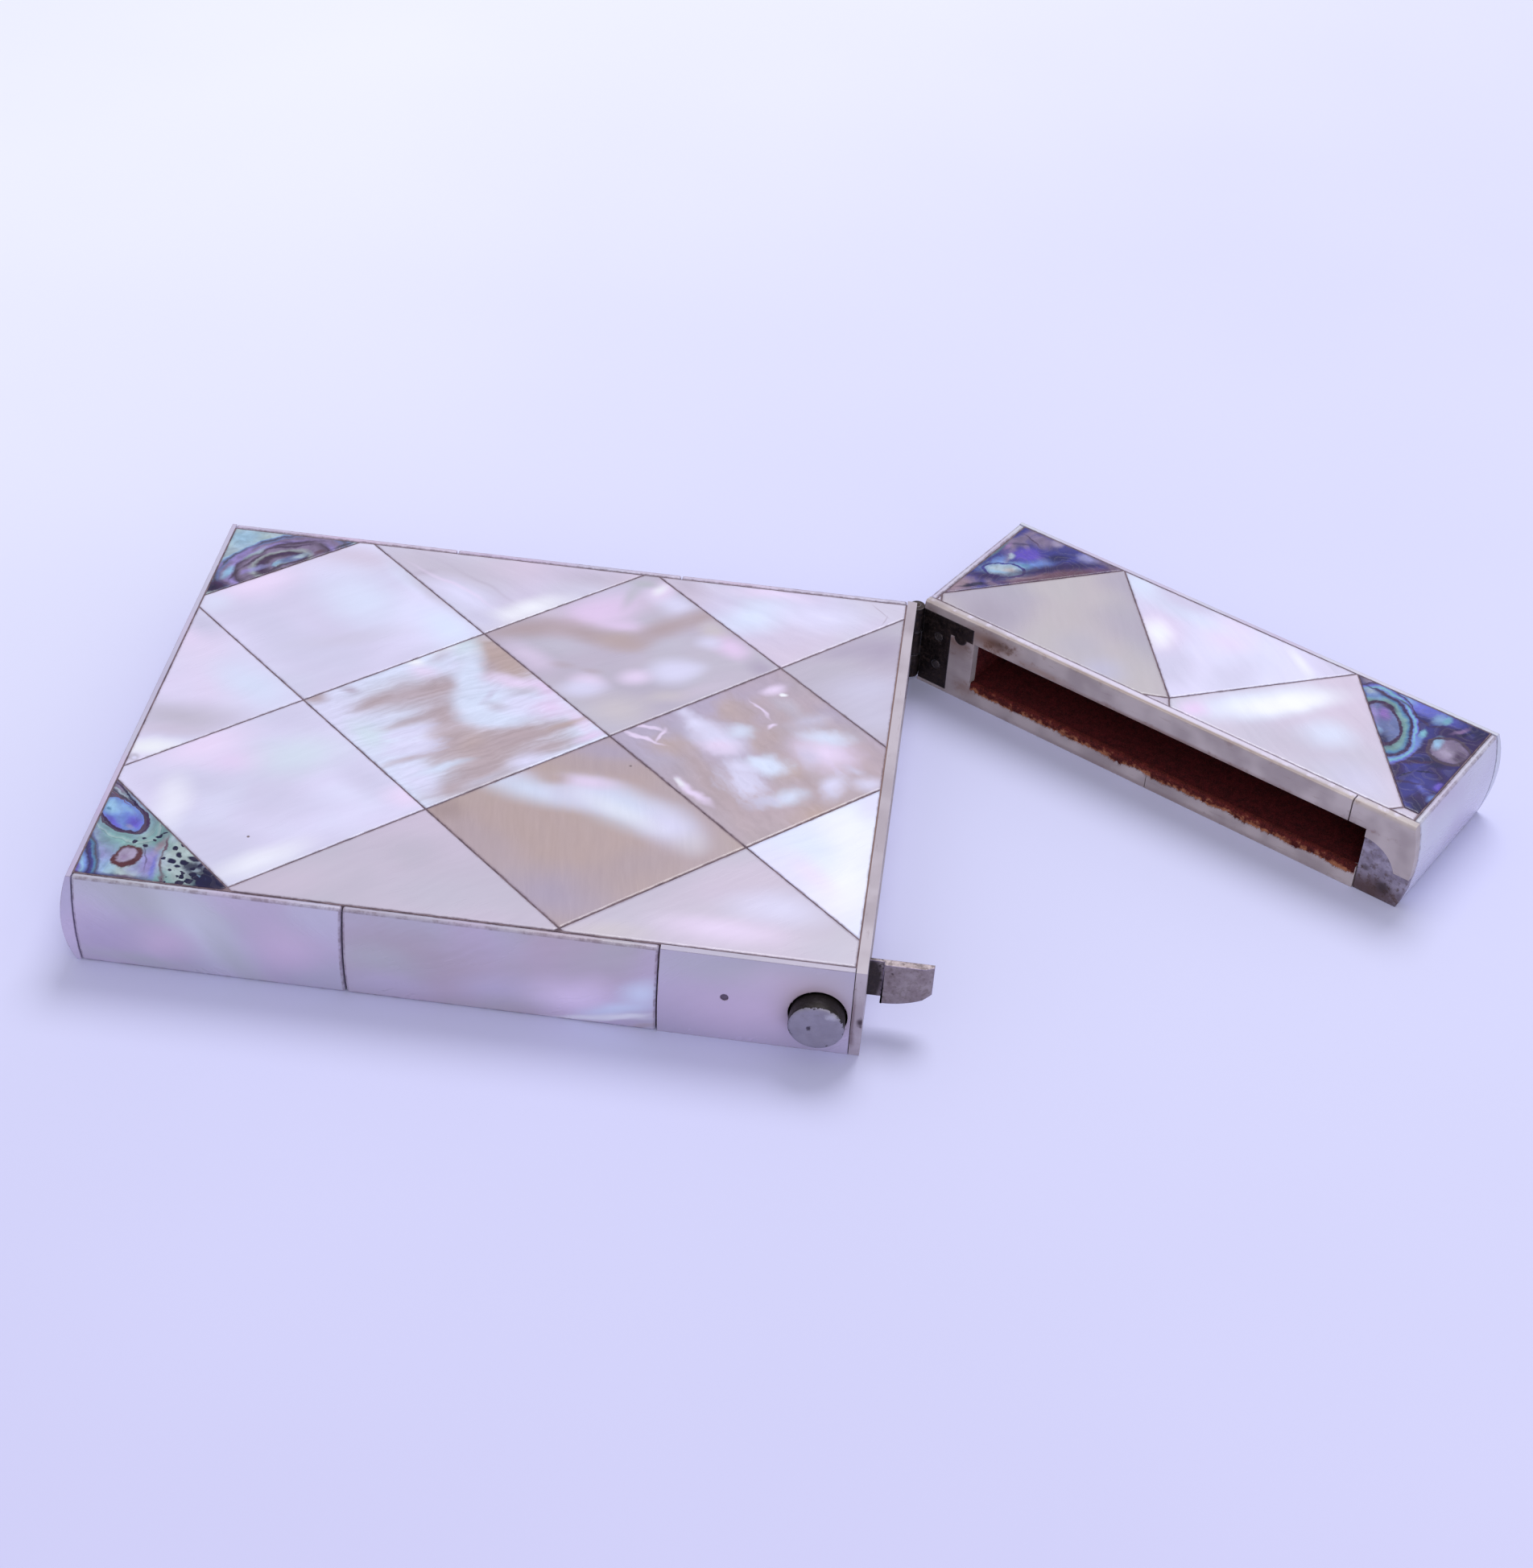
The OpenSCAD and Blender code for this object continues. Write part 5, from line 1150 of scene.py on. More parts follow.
# layers are laid from the bottom up: dab and ring give a tone, bands give stops by distance
abalonePlates = {
    "top_abalone_catch": {
        "piece": "abaloneNearLeft", "body": "case", "seed": 2, "ground": ("mintTeal", "greyMint", "lilac"),
        "specks": {"scale": 1.3, "dir": (0.75, -0.66), "start": -3.8, "end": -1.4, "size": 0.6},
        "layers": [
            (-37, -25, 4.6, 2.4, -40, "mintTeal", 0.85),
            (-36.2, -25.4, 2.4, 0.9, -30, "mintGreen", 0.55, 0.9),
            (-33.4, -22.8, 2.8, 1.3, -48, "greenSlate", 0.85, 0.9), (-33, -28, 2.2, 2.6, 0, "lilac", 0.95),
            (-32.8, -28.4, 1, 2.6, 8, "softViolet", 0.75, 0.9),
            (-32.3, -28.8, 0.4, 2.2, 6, "azure", 0.7, 0.9),
            (-36.9, -29.4, 1.4, 1.6, 0, "lightBlue", 0.7, 0.9),
            ("bands", -42.4, -31.4, 5, 8.4, 6, 0.3, 1.04, 0.95, [
                (0.3, "greyMauve"), (0.4, "brownMauve"), (0.5, "slateBlue"), (0.58, "violet"),
                (0.66, "lightBlue"), (0.72, "blue"), (0.78, "darkViolet"), (0.84, "indigo"), (0.88, "teal"),
                (0.94, "darkGrey"), (0.99, "slateBlue"), (1.04, "mintTeal")]),
            ("bands", -37.6, -21.2, 3.4, 1.9, -43, 1.05, 1.7, 0.5, [
                (1.05, "mintGreen"), (1.18, "mintTeal"), (1.3, "greenSlate"), (1.42, "mintTeal"),
                (1.56, "greyMint"), (1.62, "greenSlate"), (1.7, "mintGreen")]),
            (-29.8, -26.6, 2.4, 4.4, 10, "greyMint", 0.95, 0.7), (-31.2, -24.2, 0.7, 0.7, 0, "pale", 0.9),
            (-32.5, -25.4, 0.5, 1.7, -8, "pinkBrown", 0.85, 0.9),
            (-31.95, -25.4, 0.16, 1.8, 4, "brownMauve", 0.95, 0.7),
            (-31.5, -28.2, 0.22, 1.9, 14, "brownRed", 0.8), (-31, -30.4, 0.4, 1.2, 10, "brownMauve", 0.85),
            (-33.6, -27.4, 0.12, 2.2, 18, "plumGrey", 0.6),
            (-36.2, -30.6, 4.4, 0.5, 2, "indigo", 0.75, 0.9),
            (-34.4, -30.5, 1.7, 0.5, 0, "brownMauve", 0.7), (-39.6, -30.7, 1.6, 0.5, -10, "brownRed", 0.8),
            (-37.6, -21.2, 3.4, 1.9, -43, "blue", 1, 0.12),
            (-39.1, -20.2, 1.6, 1, -43, "lightBlue", 1, 0.9),
            (-37.2, -20.6, 1.8, 0.5, -43, "lightBlue", 0.6, 0.9),
            (-36.3, -21.9, 1.5, 1, -43, "azure", 0.9, 0.9),
            (-38.3, -22.6, 1.9, 0.5, -43, "deepViolet", 0.8, 0.9),
            (-36, -22.4, 1.2, 0.8, -43, "deepViolet", 0.8, 0.9),
            (-36.4, -23, 0.6, 0.4, -43, "lilac", 0.9, 0.9),
            ("ring", -37.6, -21.2, 3.4, 1.9, -43, 0.12, "darkMauve"),
            ("ring", -37.75, -21.4, 3.4, 1.9, -43, 0.07, "plumGrey"),
            (-39.2, -20.5, 0.3, 0.25, 0, "teal", 0.9, 0.7),
            (-35.4, -27.5, 1.45, 1.85, -20, "brownRed", 1, 0.15),
            (-35.5, -27.3, 0.95, 1.25, -20, "paleMauve", 1, 0.3), (-35.7, -27.5, 0.5, 0.6, 0, "mauve", 0.5),
            (-39.6, -17.2, 2, 1.6, -40, "greyMauve", 0.9),
            (-39, -17.4, 2.8, 0.14, -38, "darkMauve", 0.9, 0.6),
            (-39.2, -17.9, 2.4, 0.13, -32, "pale", 0.8, 0.6),
            (-39.2, -18.2, 2.2, 0.12, -30, "darkGrey", 0.9, 0.6),
            (-39, -18.6, 2.4, 0.12, -32, "brownMauve", 0.9, 0.6),
            (-38, -18.2, 3.4, 0.15, -44, "black", 0.8, 0.7), (-25.8, -30.4, 3.4, 2, -32, "black", 1, 0.5),
            (-28.4, -28, 1.5, 0.9, -20, "black", 0.9, 0.6),
            (-27.6, -29.4, 0.7, 0.35, -20, "lightBlue", 0.7), (-28, -28.4, 0.4, 0.3, 0, "pale", 0.7),
        ],
        # x, y and radii of the single black spots
        "spots": [
            (-33.1, -23.9, 0.5, 0.2, 30), (-32.5, -23.5, 0.3, 0.18, 20), (-33.4, -24.6, 0.22, 0.18, 0),
            (-34.5, -24.4, 0.26, 0.24, 0), (-35.2, -25.2, 0.38, 0.26, 15), (-34, -25.8, 0.3, 0.26, 0),
            (-31.1, -25.6, 0.36, 0.34, 30), (-30.3, -24.9, 0.28, 0.24, 0), (-30.3, -26.4, 0.58, 0.4, -30),
            (-30.7, -27.4, 0.46, 0.4, -20), (-31.5, -27.2, 0.24, 0.24, 0), (-29.4, -27.3, 0.5, 0.42, -30),
            (-29.9, -28.1, 0.4, 0.28, 0), (-28.6, -26.7, 0.75, 0.42, -35), (-29.7, -29.6, 0.28, 0.2, 0),
            (-28.3, -29.9, 0.4, 0.22, -20), (-30.6, -28.9, 0.2, 0.24, 0), (-29, -30.3, 0.3, 0.16, 0),
        ],
    },
    "top_abalone_hinge": {
        "piece": "abaloneFarLeft", "body": "case", "seed": 6, "ground": ("pale", "greyMint", "pale"),
        "layers": [
            (-38.4, 29, 2.6, 2.4, 40, "lightBlue", 0.7, 0.9),
            ("bands", -33, 25, 8.8, 4.9, 41, 0.1, 1.06, 1, [
                (0.1, "slateBlue"), (0.18, "greyMauve"), (0.26, "plumGrey"), (0.32, "darkMauve"),
                (0.36, "plumGrey"), (0.42, "grey"), (0.5, "greyMauve"), (0.56, "greyMauve"),
                (0.66, "plumGrey"), (0.73, "softViolet"), (0.82, "greyMauve"), (0.88, "slateBlue"),
                (0.92, "darkGrey"), (0.97, "slateBlue"), (1.02, "lightBlue"), (1.06, "greyMint")]),
            (-29.6, 30, 4.2, 0.9, -4, "greyMauve", 0.7), (-31.8, 29.4, 3.4, 0.3, 12, "plumGrey", 0.7),
            (-37.8, 25.8, 2.8, 0.45, 62, "softViolet", 0.95), (-36.4, 26.3, 2, 0.35, 56, "pale", 0.8),
            (-38.5, 22, 1.5, 0.55, 80, "lightBlue", 0.95), (-39.9, 22.4, 1.6, 0.35, 84, "softViolet", 0.8),
            (-36.3, 24.6, 2.4, 0.24, 62, "plumGrey", 0.95, 0.7),
            (-37.7, 21.7, 1.2, 0.2, 76, "plumGrey", 0.9, 0.7),
            (-32.6, 28.4, 2.8, 0.2, 20, "darkMauve", 0.8, 0.7), (-35.6, 23.2, 1.9, 0.5, 46, "lilac", 0.7),
            (-36.5, 22.4, 0.8, 0.4, 46, "softViolet", 0.8, 0.9),
            (-32.1, 25.9, 2.8, 0.66, 42, "slateBlue", 0.9, 0.7), (-31.2, 26.8, 1.3, 0.42, 42, "pale", 0.9),
            (-33.5, 24.6, 0.8, 0.36, 42, "lightBlue", 0.9),
            (-32.4, 24.75, 5.6, 0.24, 41, "plumGrey", 0.9, 0.7),
            (-26.6, 29.9, 2, 0.3, 41, "darkGrey", 0.9, 0.7),
            (-29.1, 27.9, 0.6, 0.4, 41, "brownRed", 0.6, 0.9),
            (-39.4, 19, 2, 1.25, 41, "darkMauve", 1, 0.5), (-39.8, 18.6, 1.4, 0.8, 41, "black", 0.8),
            (-29, 30.9, 4.4, 0.2, 0, "greyMint", 0.6),
        ],
    },
    "lid_abalone_catch": {
        "piece": "lidAbaloneCatch", "body": "lid", "seed": 9, "ground": ("navy", "indigo", "darkViolet"),
        "layers": [
            (60.4, -22.4, 2, 4.8, 0, "azure", 1, 0.7), (60.4, -20.4, 1.1, 1.4, 0, "lightBlue", 0.7, 0.9),
            (59.6, -25.2, 1.2, 0.9, 0, "lightBlue", 0.7, 0.9),
            (60.8, -16.8, 1.1, 2.4, 0, "paleMauve", 0.95),
            ("bands", 54.8, -20.4, 3.8, 2.2, 33, 0.95, 2, 0.95, [
                (0.95, "darkMauve"), (1.05, "greenSlate"), (1.22, "mintTeal"), (1.34, "teal"),
                (1.43, "darkViolet"), (1.52, "darkMauve"), (1.6, "blue"), (1.7, "cyan"), (1.82, "azure"),
                (1.92, "darkMauve"), (2, "indigo")]),
            (59, -17.2, 0.9, 1.6, 0, "blue", 0.8, 0.9), (59.3, -16.8, 0.5, 1, 0, "pale", 0.8, 0.9),
            (59.9, -17.3, 2.4, 0.22, 92, "darkMauve", 0.8, 0.7),
            (59.6, -20.9, 1.5, 0.24, 71, "darkMauve", 0.8, 0.7),
            (58.6, -22.7, 1, 0.24, 49, "darkMauve", 0.8, 0.7),
            (57.9, -24.2, 1, 0.22, 83, "darkMauve", 0.7, 0.7),
            (58.2, -25.6, 0.8, 0.2, -56, "darkMauve", 0.7, 0.7), (54.6, -25.1, 2, 0.5, 6, "blue", 0.9),
            (56.2, -25, 0.9, 0.4, 10, "cyan", 0.95), (54.8, -20.4, 3.8, 2.2, 33, "slateBlue", 1, 0.12),
            (55.6, -18.9, 1.9, 0.9, 33, "softViolet", 0.9, 0.9),
            (56.6, -20, 1.5, 0.9, 33, "magenta", 0.9, 0.9),
            (53.4, -20.6, 1, 0.5, 33, "lightBlue", 0.5, 0.9), (52, -21.9, 1.5, 1, 33, "navy", 0.95),
            ("ring", 54.8, -20.4, 3.8, 2.2, 33, 0.11, "darkMauve"),
            (57.9, -19.8, 1.5, 0.36, -85, "darkMauve", 0.8), (52, -27.8, 0.9, 1.8, 0, "navy", 0.95),
            (48.8, -28.4, 2.6, 1.5, 30, "indigo", 1), (47.2, -28.8, 1.5, 0.7, 60, "azure", 0.7, 0.9),
            (51, -26.6, 2.6, 0.35, -48, "darkMauve", 0.9, 0.7),
            (47, -27.2, 2.2, 0.25, -62, "darkMauve", 0.8, 0.7), (46, -27.9, 1.6, 1.2, 0, "indigo", 0.9),
            (48.6, -30.2, 0.9, 0.6, 0, "deepViolet", 0.95), (46.4, -30.6, 1, 0.5, 0, "blue", 0.85),
            (43.6, -30.3, 1.8, 1, 35, "navy", 0.95, 0.7), (48.4, -26.5, 1.4, 0.16, -22, "black", 0.8, 0.6),
            (50.2, -28.1, 1.3, 0.16, -59, "black", 0.8, 0.6),
            (55, -28.4, 3, 2.9, 0, "darkViolet", 0.9, 0.5), (55, -28.4, 2.3, 2.2, 0, "greyMauve", 1, 0.2),
            (54.6, -28.3, 1.3, 1.1, 0, "paleMauve", 0.9, 0.9),
            (55.7, -26.9, 1.5, 0.7, 0, "lightBlue", 0.95),
            (54.8, -29.8, 1.3, 0.8, 0, "darkMauve", 0.8, 0.9),
            ("ring", 55, -28.4, 2.4, 2.3, 0, 0.13, "plumGrey"),
            (60.3, -29.9, 1.9, 1.6, -30, "navy", 0.95, 0.7), (59.2, -27.9, 1.5, 0.35, -30, "mauve", 0.7),
            (59, -28.5, 1.3, 0.2, -30, "black", 0.7, 0.7), (60, -25.9, 1, 0.5, 0, "cyan", 0.8, 0.9),
        ],
    },
    "lid_abalone_hinge": {
        "piece": "lidAbaloneHinge", "body": "lid", "seed": 14, "ground": ("indigo", "greyMauve", "indigo"),
        "layers": [
            (58.6, 24.2, 4.2, 4.8, -40, "indigo", 0.9, 0.9), (54.8, 25.6, 3, 1.5, -42, "blue", 1),
            (54, 26.4, 1.2, 0.7, -50, "teal", 0.9), (56.2, 27.4, 2.2, 1.6, -40, "deepViolet", 1),
            (52.8, 29.3, 1.8, 0.8, 0, "blue", 0.9), (55, 30.8, 3.2, 0.5, 0, "greenSlate", 0.9),
            (56.4, 30.1, 1.2, 0.4, 0, "mauve", 0.8), (51.9, 27.6, 3.2, 1.9, -55, "lightBlue", 0.9),
            (51.8, 27.8, 2.6, 1.4, -60, "pale", 1, 0.6), (51.2, 28, 1.6, 0.35, -60, "lightBlue", 0.8),
            (52.1, 27.2, 0.9, 0.5, -60, "cream", 0.8), (54.8, 28.6, 0.8, 0.55, 0, "pale", 0.85),
            ("ring", 51.8, 27.8, 2.5, 1.4, -60, 0.12, "indigo"), (58, 24, 1.5, 1, -40, "navy", 0.85),
            (57.8, 29, 1.6, 0.3, -60, "navy", 0.6), (59.8, 27.6, 1.6, 2.4, 0, "greyMauve", 0.95),
            (59.2, 28.4, 2, 0.16, 70, "darkMauve", 0.7, 0.7),
            (60.6, 25.8, 0.9, 0.9, 0, "paleMauve", 0.85, 0.9), (60.2, 21.4, 1.1, 1.4, 0, "lilac", 0.95),
            (55.8, 23.3, 7.6, 1, -39, "darkViolet", 1), (49.8, 28.4, 3, 0.9, -60, "darkViolet", 1),
            (54.8, 22.4, 9, 1.1, -38.5, "brownMauve", 1, 0.7),
            (51.8, 25.2, 3, 0.3, -38.5, "pinkBrown", 0.4), (45.6, 30.4, 3.2, 1.6, -25, "pinkBrown", 1, 0.7),
            (47, 28.9, 2.2, 0.35, -36, "black", 0.95, 0.7),
        ],
    },
}

abaloneLevels = {
    "black": (10, 8, 62), "navy": (30, 26, 84), "indigo": (56, 56, 138), "darkViolet": (48, 32, 92),
    "darkMauve": (60, 36, 80), "plumGrey": (76, 60, 88), "brownRed": (86, 42, 56),
    "brownMauve": (106, 74, 98), "pinkBrown": (154, 130, 150), "violet": (112, 98, 200),
    "deepViolet": (100, 80, 200), "softViolet": (148, 132, 200), "magenta": (134, 96, 180),
    "azure": (106, 112, 214), "blue": (112, 140, 216), "slateBlue": (106, 118, 172),
    "lightBlue": (150, 192, 232), "cyan": (126, 188, 210), "teal": (84, 132, 178),
    "greenSlate": (106, 136, 148), "mintTeal": (122, 164, 170), "mintGreen": (150, 198, 194),
    "greyMint": (176, 194, 200), "lilac": (150, 150, 210), "mauve": (150, 120, 172),
    "greyMauve": (130, 115, 150), "paleMauve": (168, 156, 190), "grey": (150, 157, 166),
    "darkGrey": (76, 76, 98), "pale": (170, 188, 206), "cream": (190, 180, 182),
}

abaloneTones = {name: srgb(*levels) for name, levels in abaloneLevels.items()}

for cadNode, spec in abalonePlates.items():
    material = abaloneMaterial(spec["piece"], spec, spec["body"] == "lid")
    platePiece(cadNode, spec["piece"], spec["body"], material, True, spec["seed"])

# the lid's upper face, laid out as on the closed case

lidPlates = {
    "lid_plate_hinge": {
        "piece": "lidPlateHinge", "depth": 0.8, "slot": "warm_pearl", "seed": 51,
        "base": ("beigeGrey", "cream"), "tint": 0.06, "silk": 0.05,
        "patches": [
            (43.4, 25, 2.4, 2.6, 0, "greyMauve", 0.85), (48.8, 17.4, 4, 3, -40, "cream", 0.6),
            (42.6, 8.8, 2.4, 2.4, 0, "lilac", 0.9), (45, 13, 3, 2.4, 0, "grey", 0.6),
        ],
    },
    "lid_plate_middle": {
        "piece": "lidPlateMiddle", "depth": 1, "slot": "white_pearl", "seed": 56,
        "base": ("lilac", "lilacWhite"), "silk": 0.1, "streakAngle": 60, "tint": 0.1,
        "patches": [
            (60, 14, 1.8, 2.8, -10, "blueWhite", 0.95), (47.8, 2.6, 3.4, 2, 20, "lilac", 0.85),
            (58.2, 0.8, 3, 2.6, 40, "pinkWhite", 0.9), (51.8, -3.6, 3.6, 2.2, 0, "lilac", 0.7),
            # the pink-edged white patch here and the white streak on the next row are painted highlights
            (53.4, 7.6, 3.4, 2.4, 30, "pinkWhite", 0.9), (52.7, 7.6, 2.4, 1.5, 30, "white", 1),
            (58.4, 5.6, 1.4, 6, 0, "blueWhite", 0.6), (58.8, -8.4, 3, 0.7, 55, "white", 0.7),
            (60.6, -11.4, 1.6, 0.3, 55, "lilac", 0.8, 0.8),
        ],
    },
    "lid_plate_catch": {
        "piece": "lidPlateCatch", "depth": 1.02, "slot": "white_pearl", "seed": 61,
        "base": ("grey", "pinkGrey"), "silk": 0.08, "streakAngle": 60, "tint": 0.1,
        "patches": [
            (43.5, -10.4, 2.6, 3, 0, "grey", 0.8), (48.6, -16.4, 2.6, 2.2, -60, "blueWhite", 0.8),
            (53.5, -18, 2.2, 1.6, 30, "pinkGrey", 0.85), (56.6, -14, 2.4, 1.4, -30, "pinkGrey", 0.85),
            (43.6, -23.2, 2.4, 3.6, 0, "lilac", 0.9), (45.4, -14.4, 2.6, 2.6, 0, "beigeGrey", 0.6),
            # the blue-white and white band over these two rows is a painted highlight
            (49, -8, 7.4, 2.2, -42, "blueWhite", 1), (50.6, -9.8, 5.6, 1.7, -42, "white", 1),
            (51.6, -11, 3.4, 1.1, -42, "white", 1), (43.4, -2.8, 1.6, 1.3, -42, "pink", 0.95),
        ],
    },
    "lid_tips": {
        "piece": "lidTips", "slot": "lilac_pearl", "seed": 66, "base": ("lilac", "pinkGrey"), "silk": 0.08,
        "grime": 0.95, "tint": 0.06,
        "patches": [(41.6, -1, 1.4, 2.4, 0, "greyMauve", 0.6, 0.8)],
    },
}

for cadNode, spec in lidPlates.items():
    material = pearlMaterial(spec["piece"], spec, True)
    platePiece(cadNode, spec["piece"], "lid", material, True, spec["seed"])

# the undersides, which the photo doesn't show
underPearl = {
    "under_pearl": ("underPearl", "case", 71, ("lilacWhite", "grey")),
    "lid_under_pearl": ("lidUnderPearl", "lid", 76, ("lilacWhite", "pinkWhite")),
}
underAbalone = {
    # the last word is the upper corner that has the same figure
    "under_abalone": ("underAbalone", "case", 81, "top_abalone_catch"),
    "lid_under_abalone": ("lidUnderAbalone", "lid", 86, "lid_abalone_catch"),
}

for cadNode, (piece, body, seed, base) in underPearl.items():
    spec = {"base": base, "seed": seed, "tint": 0.3, "waveScale": 0.06, "silk": 0.14}
    material = pearlMaterial(piece, spec, body == "lid")
    platePiece(cadNode, piece, body, material, False, seed)

for cadNode, (piece, body, seed, corner) in underAbalone.items():
    material = abaloneMaterial(piece, {**abalonePlates[corner], "seed": seed, "warp": 0.6}, body == "lid")
    platePiece(cadNode, piece, body, material, False, seed)

print("card case: shell plates cut")

# the narrow sides; patches are laid out along the side and up it

sidePlates = {
    "catch_side_plate_end": {
        "piece": "catchSideEnd", "body": "case", "slot": "lilac_pearl", "seed": 91, "plane": "side",
        "base": ("lilacSide", "mauveSide"), "silk": 0.08, "streakAngle": -40, "streakLength": 0.12,
        "ragged": 0.1,
        "patches": [
            (-31, 9.6, 7, 2, -12, "greenGrey", 0.9), (-26.4, 6.6, 2.6, 6.4, 38, "paleSide", 0.9),
            (-23.4, 3.2, 1.6, 5, 30, "greenGrey", 0.7), (-31, 4.2, 3.4, 2.2, 0, "pinkSide", 0.8),
            (-37, 5, 3.4, 2.8, 0, "violetSide", 0.6), (-18, 5.6, 3.4, 2.6, 0, "pinkSide", 0.8),
            (-34, 1.2, 6, 1, -6, "greenGrey", 0.6),
        ],
    },
    "catch_side_plate_middle": {
        "piece": "catchSideMiddle", "body": "case", "slot": "white_pearl", "seed": 96, "plane": "side",
        "base": ("mauveSide", "roseSide"), "silk": 0.12, "streakAngle": 24, "streakLength": 0.12,
        "ragged": 0.1,
        "patches": [
            (-5, 7.4, 8, 3, -8, "roseSide", 0.9), (-9, 6, 4, 2, 0, "greenGrey", 0.6),
            (-8, 2.2, 4, 1.8, 0, "lilacSide", 0.7), (3.4, 3.6, 4, 2, 10, "lilacSide", 0.8),
            # the pink-white, blue-white and white patches on these three rows are painted highlights
            (11.3, 3.8, 4, 2.4, 12, "pinkWhite", 0.9), (15.6, 2.8, 3.4, 1, 20, "blueWhite", 0.9),
            (18, 5.6, 2, 1.4, 30, "blueWhite", 0.9), (13.2, 1, 5.4, 0.45, 12, "white", 0.8),
            (16.4, 1.7, 3, 0.3, 22, "white", 0.7, 0.8), (18.4, 0.6, 1.6, 0.5, 20, "roseBrown", 0.6),
        ],
    },
    "button_plate": {
        "piece": "buttonPlate", "body": "case", "slot": "lilac_pearl", "seed": 101, "plane": "side",
        "base": ("mauveSide", "lilacSide"), "silk": 0.04, "tint": 0.04,
        "patches": [
            (30, 9.8, 11, 2, 0, "greenGrey", 0.6), (30, 5, 8, 3.6, 0, "pinkSide", 0.75),
            (33.6, 9, 5, 1.8, 0, "pinkSide", 0.6), (36, 7, 3.4, 3.4, 0, "roseBrown", 0.6),
            (36, 5.7, 2.6, 2.6, 0, "warmBrown", 0.5, 0.6),
        ],
    },
    "hinge_side_plates": {
        "piece": "hingeSidePlates", "body": "case", "slot": "white_pearl", "seed": 106, "plane": "side",
        "base": ("lilacSide", "pinkSide"), "silk": 0.1, "streakAngle": 20,
        "patches": [
            (-28, 5.5, 6, 3, 15, "paleSide", 0.7), (2, 6, 7, 2.6, -12, "blueWhite", 0.7),
            (26, 4, 6, 3, 10, "violetSide", 0.7),
        ],
    },
    "end_plate": {
        "piece": "endPlate", "body": "case", "slot": "lilac_pearl", "seed": 111, "plane": "end",
        "base": ("lilacSide", "violetSide"), "silk": 0.1, "streakAngle": 12,
        "patches": [(-12, 6, 9, 2.4, 8, "paleSide", 0.6), (16, 5, 8, 3, -8, "pinkSide", 0.7)],
    },
    "lid_side_plates": {
        "piece": "lidSidePlates", "body": "lid", "slot": "white_pearl", "seed": 116, "plane": "side",
        "base": ("paleSide", "lilacSide"), "silk": 0.04, "streakAngle": -20, "tint": 0.05,
        "patches": [(46, 7.4, 5, 2, 0, "paleSide", 0.8), (54, 3, 5, 2.4, 0, "lilacSide", 0.7)],
    },
    "lid_end_plate": {
        "piece": "lidEndPlate", "body": "lid", "slot": "white_pearl", "seed": 121, "plane": "end",
        "base": ("lilacSide", "paleSide"), "silk": 0.08, "streakAngle": -8,
        "patches": [(8, 6, 8, 2.4, 8, "blueWhite", 0.5), (-18, 5, 7, 3, 0, "pinkSide", 0.7)],
    },
}

for cadNode, spec in sidePlates.items():
    material = pearlMaterial(spec["piece"], spec, spec["body"] == "lid")
    wornSolid(cadNode, spec["piece"], spec["body"], material, 0.22, 3, rounded=True)

print("card case: narrow sides done")

# bone rims, cement, wood

bonePieces = {
    # piece, body and rounding of its upper arris at the mouth in mm
    "case_rim_strips": ("caseRimStrips", "case", 0.0),
    "case_rim_blocks": ("caseRimBlocks", "case", 0.0),
    "lid_rim_top": ("lidRimTop", "lid", 0.45),
    "lid_rim_floor": ("lidRimFloor", "lid", 0.0),
    "lid_rim_hinge": ("lidRimHinge", "lid", 0.45),
    "lid_rim_catch": ("lidRimCatch", "lid", 0.45),
}

boneLook = {
    "case": {
        "grain": (1, 0.12, 1),
        "light": (184, 174, 190),
        "dark": (164, 152, 168),
        "pore": (124, 100, 100),
        "dirt": (120, 92, 84),
        "seed": 2,
        "grime": 0.3,
        "stains": [
            (40.3, -32.2, 5.4, 0.6, 1, 0.8, 0, (58, 40, 54), 1, 0.6),
            (39.6, -32.4, 2.4, 0.4, 1, 2, 0, (92, 68, 80), 0.8, 0.8),
            (39.5, -32.2, 5.7, 0.3, 1.4, 6, 0, (104, 80, 92), 0.7, 0.7),
        ],
    },
    "lid": {
        "grain": (1, 0.12, 1),
        "light": (186, 174, 178),
        "dark": (160, 147, 152),
        "pore": (120, 92, 84),
        "dirt": (120, 92, 84),
        "seed": 5,
        "grime": 0.25,
        "stains": [
            # x, y, z and half sizes in mm on the closed case
            (41.5, 0, 11.5, 0.75, 40, 0.7, 0, (212, 204, 230), 1, 0.5),
            (40.85, 0, 11.5, 0.3, 40, 0.8, 0, (132, 106, 98), 0.8, 0.8),
            (40.6, 22.2, 9.8, 0.9, 5.6, 1.9, 0, (122, 84, 66), 0.9, 0.9),
            (40.6, 21, 10, 0.9, 2.6, 1, 0, (82, 56, 44), 0.8, 0.9),
            (40.6, 15, 9, 0.9, 5, 0.7, 0, (140, 108, 92), 0.7, 0.9),
            (40.6, 26.4, 7.6, 0.9, 3, 2.6, 0, (112, 84, 76), 0.8, 0.9),
            (40.6, 30.4, 8.6, 0.9, 1.4, 3.6, 0, (110, 88, 84), 0.7, 0.9),
            (40.6, 0, 8.6, 0.9, 30, 0.45, 0, (116, 82, 74), 0.8, 0.9),
            (40.6, 0, 2.9, 0.9, 30, 0.7, 0, (120, 82, 66), 0.8, 0.9),
            (40.6, 0, 0.2, 0.5, 34, 0.5, 0, (138, 118, 120), 0.6, 0.8),
            (40.6, 25, 1.8, 0.5, 2.2, 1.6, 0, (132, 100, 86), 0.6, 0.8),
            (40.6, -24.5, 7.5, 0.5, 1.4, 2.2, 0, (110, 86, 86), 0.6, 0.8),
            (40.6, -30.4, 2, 0.5, 1.6, 2, 0, (120, 96, 92), 0.6, 0.8),
        ],
    },
}

